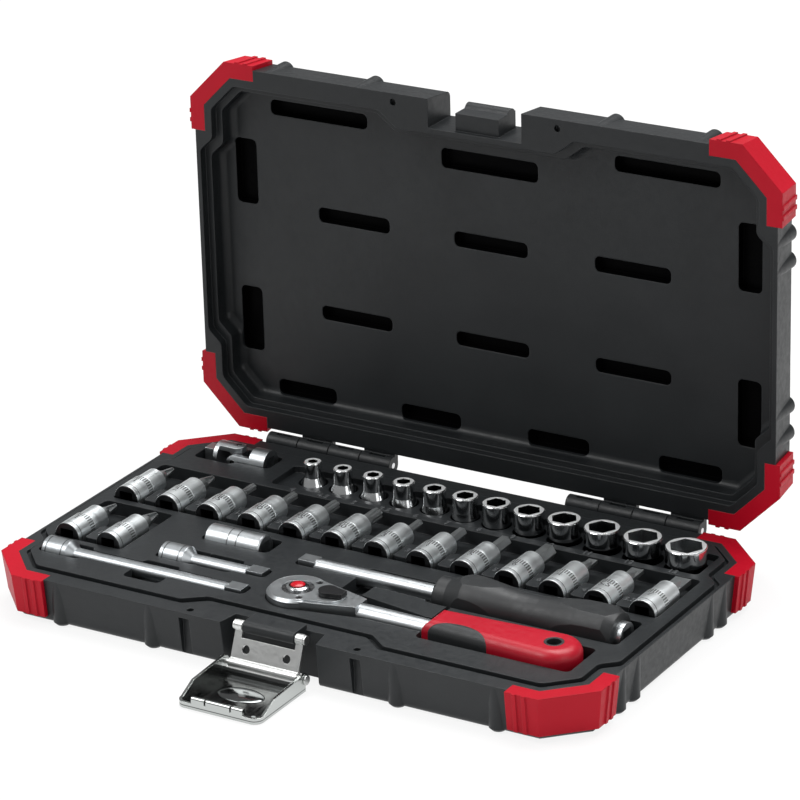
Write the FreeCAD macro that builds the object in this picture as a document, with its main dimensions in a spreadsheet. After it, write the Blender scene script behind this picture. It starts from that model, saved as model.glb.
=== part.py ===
"""Socket wrench set in a moulded carrying box, modelled open as it lies on a bench.

X runs along the box, Y towards the hinge and Z up. The origin is the centre of the
base's underside. All sizes are millimetres and degrees.
"""
import FreeCAD, Part
import math
import os

import Sketcher
from FreeCAD import Placement, Rotation, Vector

SIZES = {
    # Rooms along the front row, which set the length of the box
    "long_extension_in": 13.5,
    "front_row_gap": 9.0,
    "ratchet_in": 17.5,
    # Steps from row to row, which set the depth of the box
    "ratchet_row": 34.5,
    "spinner_row": 30.0,
    "bit_row": 18.5,
    "socket_row": 25.8,
    "back_row": 20.7,
    # Moulded box
    "corner_cut": 17.0,
    "base_height": 20.0,
    "lid_height": 19.0,
    "draft_angle": 6.0,
    "edge_round": 3.0,
    # Corner guards
    "guard_proud": 2.0,
    "guard_sunk": 1.2,
    "guard_lip": 5.0,
    "guard_arm": 14.0,
    "guard_foot": 3.0,
    "rib_width": 1.8,
    "rib_proud": 0.6,
    "rib_pitch": 4.2,
    # Tray edge, with a bay in each side and a notch behind the latch
    "tray_inset": 9.5,
    "tray_rise": 1.0,
    "tray_round": 4.0,
    "bay_deep": 6.5,
    "bay_front": 42.0,
    "bay_back": 40.0,
    "bay_slope": 6.0,
    "notch_half": 39.0,
    "notch_deep": 7.0,
    "notch_flare": 9.0,
    "seal_width": 1.6,
    "seal_deep": 1.5,
    # Outer walls
    "wall_rib_radius": 4.0,
    "wall_rib_chamfer": 1.2,
    "wall_groove_x": 38.0,
    "wall_groove_width": 5.0,
    "wall_groove_deep": 3.5,
    "wall_groove_top": 2.5,
    "rim_hole_x": 39.5,
    "rim_hole_in": 4.0,
    "rim_hole_radius": 1.5,
    "rim_hole_deep": 2.0,
    # Lid hollow
    "lid_gap": 1.0,
    "ledge_deep": 4.0,
    "hollow_step": 3.0,
    "hollow_deep": 12.0,
    "hollow_round": 3.0,
    "slot_deep": 4.5,
    "slot_round": 2.5,
    "slot_length": 36.0,
    "slot_width": 7.0,
    "slot_front_row": 17.6,
    "slot_back_row": 27.9,
    "slot_back_width": 6.6,
    "front_slot_in": 19.5,
    "front_slot_length": 49.0,
    "catch_slot_in": 29.7,
    "catch_slot_length": 47.0,
    "catch_slot_width": 9.0,
    "hinge_slot_in": 15.8,
    "hinge_slot_length": 30.0,
    "hinge_slot_width": 7.2,
    "end_slot_in": 18.0,
    "end_slot_width": 11.0,
    "end_slot_length": 30.0,
    "end_slot_front": 32.0,
    "end_slot_back": 37.0,
    # Hinge
    "hinge_back": 5.0,
    "hinge_drop": 1.0,
    "hinge_centre": 75.5,
    "hinge_guard_gap": 2.0,
    "knuckle_radius": 4.0,
    "knuckle_width": 16.0,
    "knuckle_gap": 0.4,
    "window_length": 8.0,
    "window_width": 2.2,
    "hinge_pin_radius": 1.25,
    "pin_clearance": 0.05,
    "lid_open_angle": 90.0,
    "seam_gap": 0.3,
    # Latch
    "recess_half": 21.0,
    "recess_deep": 9.6,
    "recess_flare": 2.0,
    "lid_recess_half": 22.5,
    "lid_recess_deep": 13.0,
    "bar_half": 12.0,
    "bar_radius": 2.6,
    "bar_root": 1.0,
    "latch_axis_in": 2.5,
    "latch_axis_drop": 0.6,
    "latch_pin_radius": 1.2,
    "loop_radius": 2.2,
    "sheet": 1.2,
    "link_half": 16.0,
    "link_length": 15.4,
    "link_tilt": 23.0,
    "ear_width": 3.4,
    "link_top_gap": 2.2,
    "link_hole_x": 9.6,
    "link_hole_rise": 1.0,
    "link_hole_radius": 1.8,
    "lever_half": 19.5,
    "lever_length": 35.0,
    "lever_drop": 5.0,
    "lever_flange": 6.5,
    "lever_lip": 4.2,
    "lever_lip_half": 12.0,
    "lever_slit": 0.8,
    "lever_slit_x": 6.0,
    "lever_corner": 4.0,
    "lever_toe": 8.0,
    "lever_toe_height": 2.6,
    "pin_head_radius": 2.0,
    "pin_head": 0.8,
    "pin_head_gap": 0.12,
    "lever_boss": 2.6,
    "lever_back_gap": 0.8,
    "lever_hole": 1.2,
    "lever_hole_in": 2.6,
    "catch_half": 10.4,
    "catch_sunk": 5.3,
    "catch_drop": 2.2,
    "catch_hook": 3.6,
    "catch_root": 1.0,
    # Pockets of the tray
    "seat_gap": 0.3,
    "side_gap": 0.5,
    "end_gap": 1.5,
    "well_corner": 2.5,
    # Sockets
    "drive_square": 6.35,
    "square_gap": 0.1,
    "socket_length": 25.0,
    "socket_top": 28.0,
    "socket_drive_radius": 6.0,
    "socket_drive_length": 14.0,
    "socket_cone": 4.0,
    "socket_chamfer": 0.4,
    "socket_grow": 1.08,
    "socket_wall": 3.5,
    "socket_hex_deep": 9.0,
    "socket_bore": 1.5,
    "socket_first_in": 74.1,
    "socket_last_in": 23.1,
    "trough_floor": 18.0,
    "trough_front": 19.0,
    "trough_back": 2.5,
    "trough_left": 13.0,
    "trough_right": 1.5,
    # Bit sockets
    "bit_in": 15.7,
    "bit_front_row": 44.0,
    "bit_axis": 21.0,
    "sleeve_radius": 6.0,
    "sleeve_drive_length": 12.5,
    "sleeve_groove": 0.8,
    "sleeve_front_radius": 5.5,
    "sleeve_length": 23.5,
    "sleeve_drive_chamfer": 0.3,
    "sleeve_front_chamfer": 0.8,
    "bit_length": 36.5,
    "bit_shank_radius": 3.0,
    "bit_bore_deep": 9.0,
    "bit_shank_out": 3.0,
    "bit_cone": 2.0,
    "blade_length": 3.0,
    "cross_point": 0.5,
    "bit_side_gap": 0.9,
    "bit_back_gap": 1.0,
    "bit_front_gap": 3.0,
    "divider_width": 7.0,
    "divider_round": 1.6,
    "divider_step": 4.0,
    "divider_start": 3.0,
    "divider_high_end": 16.0,
    "divider_low_start": 12.0,
    "divider_end": 24.0,
    # Extensions and adapter
    "bar_tool_axis": 19.0,
    "shaft_radius": 3.3,
    "female_radius": 6.0,
    "female_length": 12.0,
    "female_chamfer": 0.5,
    "female_room": 8.0,
    "male_length": 8.0,
    "male_root": 0.5,
    "male_gap": 0.9,
    "long_extension": 98.0,
    "long_extension_front": 6.0,
    "short_extension": 50.0,
    "short_extension_in": 60.5,
    "short_extension_back": 11.5,
    "finger_room": 5.0,
    "finger_half": 9.0,
    "adapter_length": 27.0,
    "adapter_radius": 6.3,
    "adapter_chamfer": 0.6,
    "adapter_room": 5.0,
    "adapter_in": 68.0,
    "adapter_back": 5.5,
    # Universal joint
    "joint_in": 33.5,
    "joint_back": 20.5,
    "joint_axis": 20.0,
    "joint_radius": 6.3,
    "joint_ear": 3.1,
    "joint_gap": 3.4,
    "joint_reach": 8.2,
    "joint_socket_end": 16.0,
    "joint_hub": 2.0,
    "joint_square": 6.0,
    "trunnion_radius": 1.3,
    "joint_swing": 3.0,
    "joint_relief": 1.2,
    "joint_socket_room": 3.0,
    "joint_swing_end": 2.0,
    "joint_tip_room": 2.0,
    "joint_tip_rise": 2.0,
    "joint_tip_gap": 1.0,
    "joint_tip_lap": 5.0,
    # Spinner handle
    "spinner_in": 12.5,
    "spinner_axis": 19.5,
    "spinner_shaft_radius": 3.6,
    "spinner_shaft": 66.0,
    "spinner_grip_radius": 11.2,
    "spinner_grip_flat": 9.8,
    "spinner_waist": 8.6,
    "spinner_grip": 83.0,
    "spinner_tang": 20.0,
    "spinner_neck": 8.064,
    "spinner_neck_length": 6.0,
    "spinner_neck_chamfer": 1.0,
    "spinner_swell_in": 14.0,
    "spinner_swell_out": 12.0,
    "spinner_nose": 4.0,
    "spinner_nose_chamfer": 2.0,
    "spinner_end_radius": 6.0,
    "spinner_end": 3.0,
    "spinner_end_floor": 3.0,
    "spinner_shaft_gap": 1.1,
    "spinner_shaft_room": 3.0,
    "spinner_grip_lap": 1.0,
    # Finger room between spinner and ratchet, with an island in it
    "room_floor": 14.0,
    "room_in": 29.0,
    "room_out": 12.0,
    "room_front": 1.0,
    "room_back": 1.5,
    "island_in": 11.0,
    "island_lean": 0.5,
    "island_out": 2.0,
    "island_front": 12.0,
    "island_front_out": 6.0,
    "island_back": 3.8,
    "island_back_out": 1.5,
    # Ratchet
    "ratchet_axis": 19.0,
    "head_radius": 13.0,
    "head_half": 5.5,
    "head_chamfer": 1.2,
    "neck_length": 30.0,
    "neck_half": 4.6,
    "neck_in": 0.3,
    "neck_down": 0.6,
    "neck_room": 6.0,
    "neck_gap": 2.0,
    "shank_root": 4.0,
    "shank_taper": 0.4,
    "gear_tip": 8.3,
    "gear_half": 3.3,
    "gear_teeth": 24,
    "gear_notch": 1.0,
    "hub_radius": 6.6,
    "hub_down": 0.4,
    "drive_length": 9.0,
    "button_radius": 4.7,
    "button_gap": 0.08,
    "button_proud": 1.2,
    "button_travel": 1.0,
    "button_well": 1.0,
    "button_bevel": 0.9,
    "button_bevel_height": 0.6,
    "cover_thick": 2.0,
    "cover_radius": 11.3,
    "cover_tail": 7.6,
    "cover_side_in": 0.2,
    "cover_tail_in": 0.1,
    "pawl_x": 14.5,
    "pawl_radius": 5.9,
    "lever_stem": 2.4,
    "lever_plate": 1.9,
    "lever_hub": 4.08,
    "lever_root_half": 3.9,
    "lever_tip_half": 2.2,
    "lever_reach": 7.5,
    "cover_screw_x": 5.4,
    "cover_screw_y": 8.0,
    "cover_screw_radius": 1.5,
    "cover_screw_down": 0.3,
    "handle_start": 63.0,
    "handle_length": 67.0,
    "handle_half_start": 8.4,
    "handle_half_end": 11.4,
    "handle_thick": 15.0,
    "handle_round": 4.5,
    "handle_hole": 3.0,
    "eyelet_wall": 1.1,
    "tang_radius": 3.2,
    "tang_length": 40.0,
    "tang_root": 1.0,
    "handle_room": 2.0,
    "inlay_x": 79.0,
    "inlay_radius": 20.5,
    "inlay_deep": 6.0,
}

SOCKET_SIZES = [4.0, 4.5, 5.0, 5.5, 6.0, 7.0, 8.0, 9.0, 10.0, 11.0, 12.0, 13.0]

# Tip form and its size across, from the left of each row
BACK_BITS = [
    ("cross_a1", "cross", 4.6), ("cross_a2", "cross", 5.8),
    ("star_15", "star", 3.3), ("star_20", "star", 3.9),
    ("star_25", "star", 4.5), ("star_30", "star", 5.6),
    ("hex_3", "hex", 3.0), ("hex_4", "hex", 4.0),
    ("hex_5", "hex", 5.0), ("hex_6", "hex", 6.0),
    ("flat_4", "flat", 4.0), ("flat_5p5", "flat", 5.5), ("flat_7", "flat", 7.0),
]
FRONT_BITS = [("cross_b1", "cross", 4.6), ("cross_b2", "cross", 5.8)]

# Upright ribs of the outer walls, from the middle of each side
FRONT_RIBS = [58.0, 103.5]
SIDE_RIBS = [32.0, 44.0]

# Places of the lid's slots along the box, as shares of its length
SLOT_COLUMN = 0.242
FRONT_SLOT_COLUMN = 0.3
HINGE_SLOT_COLUMNS = [-0.338, -0.1125, 0.1125, 0.338]

# Shares of a bit's size across, and of a tool's length
BLADE_NECK = 0.45
BLADE_HALF = 0.16
FLUTE_PLACE = 1.12
FLUTE_SIZE = 0.3
CROSS_TIP = 0.22
CROSS_POINT = 0.1
CROSS_ARM = 0.11
FINGER_PLACE = 0.55

ROOT_TWO = math.sqrt(2.0)
ROOT_THREE = math.sqrt(3.0)
CUT_SHRINK = 2.0 - ROOT_TWO
OVER = 2.0
WAIST_STEPS = 12
ALONG_X = Rotation(Vector(0, 1, 0), 90)
ALONG_Y = Rotation(Vector(1, 0, 0), -90)
UPRIGHT = Rotation()
VERTICAL_EDGES = (1, 3, 5, 7)
CORNERS = [(side_x, side_y) for side_x in (-1, 1) for side_y in (-1, 1)]

doc = FreeCAD.newDocument("socket_set")
nodes = []


class Size:
    """A number together with the sheet expression that it comes from."""

    def __init__(self, value, text):
        self.value = float(value)
        self.text = text

    @staticmethod
    def of(other):
        if isinstance(other, Size):
            return other
        return Size(other, "(%r)" % float(other))

    def join(self, sign, other, value):
        return Size(value, "(%s %s %s)" % (self.text, sign, other.text))

    def __add__(self, other):
        other = Size.of(other)
        return self.join("+", other, self.value + other.value)

    def __radd__(self, other):
        return Size.of(other) + self

    def __sub__(self, other):
        other = Size.of(other)
        return self.join("-", other, self.value - other.value)

    def __rsub__(self, other):
        return Size.of(other) - self

    def __mul__(self, other):
        other = Size.of(other)
        return self.join("*", other, self.value * other.value)

    def __rmul__(self, other):
        return Size.of(other) * self

    def __truediv__(self, other):
        other = Size.of(other)
        return self.join("/", other, self.value / other.value)

    def __neg__(self):
        return Size(-self.value, "(0 - %s)" % self.text)


def larger(first, second):
    first, second = Size.of(first), Size.of(second)
    return Size(max(first.value, second.value), "max(%s; %s)" % (first.text, second.text))


def ordered(first, second):
    """Two sizes with the smaller one first."""
    return (first, second) if first.value <= second.value else (second, first)


def sine(angle):
    return Size(math.sin(math.radians(angle.value)), "sin(%s * 1 deg)" % angle.text)


def cosine(angle):
    return Size(math.cos(math.radians(angle.value)), "cos(%s * 1 deg)" % angle.text)


def make_sheet():
    """Write the driving sizes into the sheet and return them by name."""
    sheet = doc.addObject("Spreadsheet::Sheet", "dims")
    for row, (name, value) in enumerate(SIZES.items(), 1):
        sheet.set("A%d" % row, name)
        sheet.set("B%d" % row, str(value))
        sheet.setAlias("B%d" % row, name)
    doc.recompute()
    return {name: Size(value, "dims." + name) for name, value in SIZES.items()}


S = make_sheet()


def bind(thing, prop, value):
    """Give a property its size and tie it to the sheet."""
    value = Size.of(value)
    setattr(thing, prop, value.value)
    if "dims." in value.text:
        thing.setExpression(prop, value.text)


def place(thing, x, y, z, turn=UPRIGHT):
    spot = [Size.of(value) for value in (x, y, z)]
    thing.Placement = Placement(Vector(*[value.value for value in spot]), turn)
    for axis, value in zip("xyz", spot):
        if "dims." in value.text:
            thing.setExpression("Placement.Base." + axis, value.text)
    return thing


def node(thing, name):
    """Name a finished sub-part, which is written under that name."""
    thing.Label = name
    nodes.append(thing)
    return thing


# Plain solids

def box(x0, x1, y0, y1, z0, z1, corner=None):
    solid = doc.addObject("Part::Box", "block")
    bind(solid, "Length", Size.of(x1) - x0)
    bind(solid, "Width", Size.of(y1) - y0)
    bind(solid, "Height", Size.of(z1) - z0)
    place(solid, x0, y0, z0)
    if corner is None:
        return solid
    rounded = doc.addObject("Part::Fillet", "rounded_block")
    rounded.Base = solid
    rounded.Edges = [(edge, corner.value, corner.value) for edge in VERTICAL_EDGES]
    return rounded


def cylinder(x, y, z, radius, length, turn=UPRIGHT):
    solid = doc.addObject("Part::Cylinder", "round")
    bind(solid, "Radius", radius)
    bind(solid, "Height", length)
    return place(solid, x, y, z, turn)


def fuse(parts):
    joined = doc.addObject("Part::MultiFuse", "joined")
    joined.Shapes = parts
    joined.Refine = True
    return joined


def cut(base, tools):
    result = doc.addObject("Part::Cut", "cut")
    result.Base = base
    result.Tool = tools[0] if len(tools) == 1 else fuse(tools)
    result.Refine = True
    return result


def common(first, second):
    shared = doc.addObject("Part::MultiCommon", "shared")
    shared.Shapes = [first, second]
    shared.Refine = True
    return shared


# Sketched bodies

def origin_part(body, role):
    return [part for part in body.Origin.OriginFeatures if part.Role == role][0]


def sketch_polygon(body, plane, points):
    """Draw a closed polygon whose corners are tied to the sheet."""
    sketch = body.newObject("Sketcher::SketchObject", "outline")
    sketch.AttachmentSupport = [(origin_part(body, plane), "")]
    sketch.MapMode = "FlatFace"
    points = [(Size.of(x), Size.of(y)) for x, y in points]
    count = len(points)
    for index in range(count):
        start, end = points[index], points[(index + 1) % count]
        sketch.addGeometry(Part.LineSegment(
            Vector(start[0].value, start[1].value, 0), Vector(end[0].value, end[1].value, 0)))
    for index in range(count):
        sketch.addConstraint(Sketcher.Constraint("Coincident", index, 2, (index + 1) % count, 1))
    for index, point in enumerate(points):
        for kind, axis, value in (("DistanceX", -2, point[0]), ("DistanceY", -1, point[1])):
            if value.value == 0.0:
                sketch.addConstraint(Sketcher.Constraint("PointOnObject", index, 1, axis))
                continue
            tie = sketch.addConstraint(Sketcher.Constraint(kind, -1, 1, index, 1, value.value))
            if "dims." in value.text:
                sketch.setExpression("Constraints[%d]" % tie, value.text)
    return sketch


def prism(points, z, height, taper=None, up=True):
    """Pad a polygon from height z, narrowing by the taper angle."""
    body = doc.addObject("PartDesign::Body", "prism")
    pad = body.newObject("PartDesign::Pad", "pad")
    pad.Profile = sketch_polygon(body, "XY_Plane", points)
    bind(pad, "Length", height)
    pad.Reversed = not up
    if taper is not None:
        bind(pad, "TaperAngle", -taper)
    return place(body, 0, 0, z)


def side_plate(points, x, thick):
    """Pad a polygon drawn in Y and Z along X."""
    body = doc.addObject("PartDesign::Body", "plate")
    pad = body.newObject("PartDesign::Pad", "pad")
    pad.Profile = sketch_polygon(body, "YZ_Plane", points)
    bind(pad, "Length", thick)
    return place(body, x, 0, 0)


def round_upright_edges(body, radius):
    """Round every edge of the pad that stands along Z."""
    doc.recompute()
    pad = body.Tip
    names = []
    for index, edge in enumerate(pad.Shape.Edges, 1):
        run = edge.Vertexes[-1].Point - edge.Vertexes[0].Point
        if abs(run.z) > 1e-6 and math.hypot(run.x, run.y) < 1e-6:
            names.append("Edge%d" % index)
    rounding = body.newObject("PartDesign::Fillet", "corners")
    rounding.Base = (pad, names)
    bind(rounding, "Radius", radius)
    return body


def revolve(profile):
    """Turn a profile of (radius, height) corners about the body's own Z axis."""
    body = doc.addObject("PartDesign::Body", "turned")
    sketch = sketch_polygon(body, "XZ_Plane", profile)
    turned = body.newObject("PartDesign::Revolution", "revolution")
    turned.Profile = sketch
    turned.ReferenceAxis = (sketch, ["V_Axis"])
    turned.Angle = 360
    return body


def add_prism(body, kind, sides, radius, z, height, turn=0.0):
    feature = body.newObject("PartDesign::%sPrism" % kind, "prism")
    feature.Polygon = sides
    bind(feature, "Circumradius", radius)
    bind(feature, "Height", height)
    place(feature, 0, 0, z, Rotation(Vector(0, 0, 1), turn))
    return feature


def add_cylinder(body, kind, x, y, z, radius, height):
    feature = body.newObject("PartDesign::%sCylinder" % kind, "bore")
    bind(feature, "Radius", radius)
    bind(feature, "Height", height)
    place(feature, x, y, z)
    return feature


def add_box(body, kind, x0, x1, y0, y1, z0, z1):
    feature = body.newObject("PartDesign::%sBox" % kind, "block")
    bind(feature, "Length", Size.of(x1) - x0)
    bind(feature, "Width", Size.of(y1) - y0)
    bind(feature, "Height", Size.of(z1) - z0)
    place(feature, x0, y0, z0)
    return feature


def repeat_round(body, feature, count):
    pattern = body.newObject("PartDesign::PolarPattern", "ring")
    pattern.Originals = [feature]
    pattern.Axis = (origin_part(body, "Z_Axis"), [""])
    pattern.Angle = 360
    pattern.Occurrences = count
    body.Tip = pattern


def square_radius(gap=0.0):
    return (S["drive_square"] + gap) / ROOT_TWO


# Shared places of the box

ratchet_length = S["head_radius"] + S["handle_start"] + S["handle_length"]
spinner_length = S["spinner_shaft"] + S["spinner_grip"] + S["spinner_end"]
box_length = (S["long_extension_in"] + S["long_extension"] + S["front_row_gap"] + ratchet_length
              + S["ratchet_in"])
box_depth = (S["ratchet_row"] + S["spinner_row"] + S["bit_row"] + S["bit_length"] + S["socket_row"]
             + S["back_row"])
left_end = -(box_length / 2)
right_end = box_length / 2
rim = S["base_height"]
tray_top = rim + S["tray_rise"]
front_face = -(box_depth / 2)
back_face = box_depth / 2
hinge_y = back_face + S["hinge_back"]
hinge_z = rim - S["hinge_drop"]
latch_y = front_face + S["latch_axis_in"]
latch_z = rim - S["latch_axis_drop"]
lever_y = latch_y - S["link_length"] * sine(S["link_tilt"])
lever_z = latch_z - S["link_length"] * cosine(S["link_tilt"])
ratchet_x = right_end - S["ratchet_in"] - S["handle_length"] - S["handle_start"]
ratchet_y = front_face + S["ratchet_row"]
spinner_x = right_end - S["spinner_in"] - spinner_length
spinner_y = ratchet_y + S["spinner_row"]
bits_y = spinner_y + S["bit_row"]
front_bits_y = bits_y - S["bit_front_row"]
bits_x = left_end + S["bit_in"]
bit_pitch = (box_length - 2 * S["bit_in"]) / (len(BACK_BITS) - 1)
socket_back_line = bits_y + S["bit_length"] + S["socket_row"]
joint_x = left_end + S["joint_in"]
joint_y = back_face - S["joint_back"]
joint_tip = S["joint_hub"] + S["joint_square"]
long_extension_x = left_end + S["long_extension_in"]
long_extension_y = ratchet_y - S["long_extension_front"]
short_extension_x = left_end + S["short_extension_in"]
short_extension_y = ratchet_y + S["short_extension_back"]
adapter_x = left_end + S["adapter_in"]
adapter_y = spinner_y + S["adapter_back"]
open_lid = Placement(Vector(), Rotation(Vector(1, 0, 0), -SIZES["lid_open_angle"]),
                     Vector(0, hinge_y.value, hinge_z.value))


def octagon(inset, z, height, up=False, taper=None):
    """The box outline with its cut corners, moved in by an inset."""
    half_x = box_length / 2 - inset
    half_y = box_depth / 2 - inset
    trim = S["corner_cut"] - CUT_SHRINK * Size.of(inset)
    quarter = [(half_x, half_y - trim), (half_x - trim, half_y)]
    points = quarter + [(-x, y) for x, y in reversed(quarter)]
    points += [(-x, -y) for x, y in quarter] + [(x, -y) for x, y in reversed(quarter)]
    return prism(points, z, height, taper, up)


def round_far_edge(body, radius):
    """Round the edge of the pad's far face."""
    doc.recompute()
    solid = body.Tip
    faces = solid.Shape.Faces
    far = max(range(len(faces)), key=lambda index: abs(faces[index].CenterOfMass.z))
    rounding = body.newObject("PartDesign::Fillet", "rounding")
    rounding.Base = (solid, ["Face%d" % (far + 1)])
    bind(rounding, "Radius", radius)
    return body


def tray_outline(grow):
    """Edge of the tray, moved out by grow: cut corners, a bay in each side and the latch notch."""
    grow = Size.of(grow)
    half_x = box_length / 2 - S["tray_inset"] + grow
    half_y = box_depth / 2 - S["tray_inset"] + grow
    trim = S["corner_cut"] - CUT_SHRINK * (S["tray_inset"] - grow)
    bay_x = half_x + S["bay_deep"]
    bay_front = S["bay_front"] + grow
    bay_back = S["bay_back"] + grow
    notch = S["notch_half"] - grow
    right = [
        (notch, S["notch_deep"] - half_y), (notch + S["notch_flare"], -half_y),
        (half_x - trim, -half_y), (half_x, trim - half_y),
        (half_x, -bay_front - S["bay_slope"]), (bay_x, -bay_front),
        (bay_x, bay_back), (half_x, bay_back + S["bay_slope"]),
        (half_x, half_y - trim), (half_x - trim, half_y),
    ]
    return right + [(-x, y) for x, y in reversed(right)]


def tray_block(grow, z, height):
    """Solid of the tray outline from height z upwards, with rounded corners."""
    return round_upright_edges(prism(tray_outline(grow), z, height), S["tray_round"])


def wall_ribs(up):
    """Upright half-round ribs that come out of the drafted walls away from the rim."""
    radius = S["wall_rib_radius"]
    height = S["lid_height"] if up else rim
    chamfer = S["wall_rib_chamfer"]
    edge_x = box_length / 2 - radius
    edge_y = box_depth / 2 - radius
    spots = [(side * x, -edge_y) for side in (-1, 1) for x in FRONT_RIBS]
    spots += [(side * edge_x, end * y) for side in (-1, 1) for end in (-1, 1) for y in SIDE_RIBS]
    ribs = []
    for x, y in spots:
        rib = revolve([(0, 0), (radius - chamfer, 0), (radius, chamfer), (radius, height), (0, height)])
        top = rim + height if up else 0
        ribs.append(place(rib, x, y, top, Rotation(Vector(1, 0, 0), 180) if up else UPRIGHT))
    return ribs


def lid_slots():
    """Tack-off slots of the lid's panel: centre along, centre across, length, width."""
    columns = [share * box_length for share in (-SLOT_COLUMN, 0.0, SLOT_COLUMN)]
    corners = [share * box_length for share in (-FRONT_SLOT_COLUMN, FRONT_SLOT_COLUMN)]
    end_x = right_end - S["end_slot_in"]
    front = front_face + S["front_slot_in"]
    hinge = back_face - S["hinge_slot_in"]
    rows = [(x, -S["slot_front_row"], S["slot_length"], S["slot_width"]) for x in columns]
    rows += [(x, S["slot_back_row"], S["slot_length"], S["slot_back_width"]) for x in columns]
    rows += [(x, front, S["front_slot_length"], S["slot_width"]) for x in corners]
    rows += [(0.0, front_face + S["catch_slot_in"], S["catch_slot_length"], S["catch_slot_width"])]
    for share in HINGE_SLOT_COLUMNS:
        rows.append((share * box_length, hinge, S["hinge_slot_length"], S["hinge_slot_width"]))
    for x in (-end_x, end_x):
        for y in (-S["end_slot_front"], S["end_slot_back"]):
            rows.append((x, y, S["end_slot_width"], S["end_slot_length"]))
    return rows


def hinge_leaf(lid, lowest, highest, bore):
    """Knuckles of one leaf on both hinges, with the webs that carry them, their bores and windows."""
    knuckles = []
    bores = []
    first = 1 if lid else 0
    width = S["knuckle_width"]
    gap = S["knuckle_gap"]
    for side in (-1, 1):
        for place_in_row in (first, first + 2):
            start = side * S["hinge_centre"] + (place_in_row - 2) * width + gap / 2
            knuckles.append(cylinder(start, hinge_y, hinge_z, S["knuckle_radius"], width - gap, ALONG_X))
            knuckles.append(box(start, start + width - gap, back_face - S["knuckle_radius"], hinge_y,
                                lowest, highest))
            low = start + (width - gap - S["window_length"]) / 2
            deep = S["knuckle_radius"] + OVER
            half = S["window_width"] / 2
            across = (hinge_y - deep, hinge_y) if lid else (hinge_y - half, hinge_y + half)
            upright = (hinge_z - half, hinge_z + half) if lid else (hinge_z, hinge_z + deep)
            bores.append(box(low, low + S["window_length"], *across, *upright))
        row_start = side * S["hinge_centre"] - 2 * width - OVER
        bores.append(cylinder(row_start, hinge_y, hinge_z, bore, 4 * width + 2 * OVER, ALONG_X))
    return knuckles, bores


def corner_guards(up):
    """Four guards that wrap the cut corners, each with a lip on the rim and ribs on its arms."""
    height = (S["lid_height"] if up else rim) - S["guard_foot"]
    taper = S["draft_angle"]
    sign = 1 if up else -1
    outside = octagon(-S["guard_proud"], rim, height, up, taper)
    wall_start = rim + sign * S["guard_sunk"]
    inside = octagon(S["guard_sunk"], wall_start, height + OVER, up, taper)
    opening = octagon(S["guard_lip"], rim - sign * OVER, height, up)
    front_end_x = box_length / 2 - S["corner_cut"] - S["guard_arm"]
    hinge_end_x = S["hinge_centre"] + 2 * S["knuckle_width"] + S["hinge_guard_gap"]
    end_y = box_depth / 2 - S["corner_cut"] - S["guard_arm"]
    outer_x = box_length / 2 + S["guard_proud"]
    outer_y = box_depth / 2 + S["guard_proud"]
    bottom = rim if up else Size.of(0.0)
    zones = []
    ribs = []
    for side_x, side_y in CORNERS:
        end_x = hinge_end_x if side_y > 0 else front_end_x
        span_x = ordered(side_x * end_x, side_x * (outer_x + OVER))
        span_y = ordered(side_y * end_y, side_y * (outer_y + OVER))
        zones.append(box(*span_x, *span_y, bottom - OVER, bottom + height + S["guard_foot"] + OVER))
        for step in (1, 2):
            along_x = side_x * (end_x + step * S["rib_pitch"])
            along_y = side_y * (end_y + step * S["rib_pitch"])
            ribs.append((along_x, side_y, along_y, side_x))
    rib_solids = []
    proud = octagon(-(S["guard_proud"] + S["rib_proud"]), rim, height, up, taper)
    half = S["rib_width"] / 2
    for along_x, side_y, along_y, side_x in ribs:
        deep_y = ordered(side_y * (outer_y - 2 * S["guard_proud"]), side_y * (outer_y + OVER))
        deep_x = ordered(side_x * (outer_x - 2 * S["guard_proud"]), side_x * (outer_x + OVER))
        low = bottom - OVER
        high = bottom + height + S["guard_foot"] + OVER
        rib_solids.append(box(along_x - half, along_x + half, *deep_y, low, high))
        rib_solids.append(box(*deep_x, along_y - half, along_y + half, low, high))
    wrapped = fuse([outside, common(proud, fuse(rib_solids))])
    return common(cut(wrapped, [inside, opening]), fuse(zones))


def well(x0, x1, y0, y1, floor):
    """A pocket of the tray with rounded corners, open to the top."""
    return box(x0, x1, y0, y1, floor, tray_top + OVER, S["well_corner"])


# Sockets

def socket_radius(across):
    return (S["socket_grow"] * across + S["socket_wall"]) / 2


def socket_places():
    """Middle and reach of each socket, with even gaps along the row."""
    reaches = [larger(socket_radius(across), S["socket_drive_radius"]) for across in SOCKET_SIZES]
    span = box_length - S["socket_first_in"] - S["socket_last_in"]
    filled = 2 * sum(reaches) - reaches[0] - reaches[-1]
    gap = (span - filled) / (len(SOCKET_SIZES) - 1)
    places = []
    along = left_end + S["socket_first_in"]
    for index, across in enumerate(SOCKET_SIZES):
        if index:
            along = along + reaches[index - 1] + reaches[index] + gap
        places.append((along, socket_back_line - socket_radius(across), reaches[index]))
    return places


def make_socket(across, x, y):
    radius = socket_radius(across)
    drive = S["socket_drive_radius"]
    length = S["socket_length"]
    drive_end = S["socket_drive_length"]
    chamfer = S["socket_chamfer"]
    body = revolve([
        (0, 0), (drive - chamfer, 0), (drive, chamfer), (drive, drive_end),
        (radius, drive_end + S["socket_cone"]), (radius, length - chamfer),
        (radius - chamfer, length), (0, length),
    ])
    hex_start = length - S["socket_hex_deep"]
    add_prism(body, "Subtractive", 6, across / ROOT_THREE, hex_start, S["socket_hex_deep"] + OVER)
    square_deep = S["socket_hex_deep"]
    add_prism(body, "Subtractive", 4, square_radius(S["square_gap"]), -OVER, square_deep + OVER, 45)
    add_cylinder(body, "Subtractive", 0, 0, 0, S["socket_bore"], length)
    name = ("%g" % across).replace(".", "p")
    return node(place(body, x, y, S["socket_top"] - length), "socket_%smm" % name)


# Bit sockets

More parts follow.
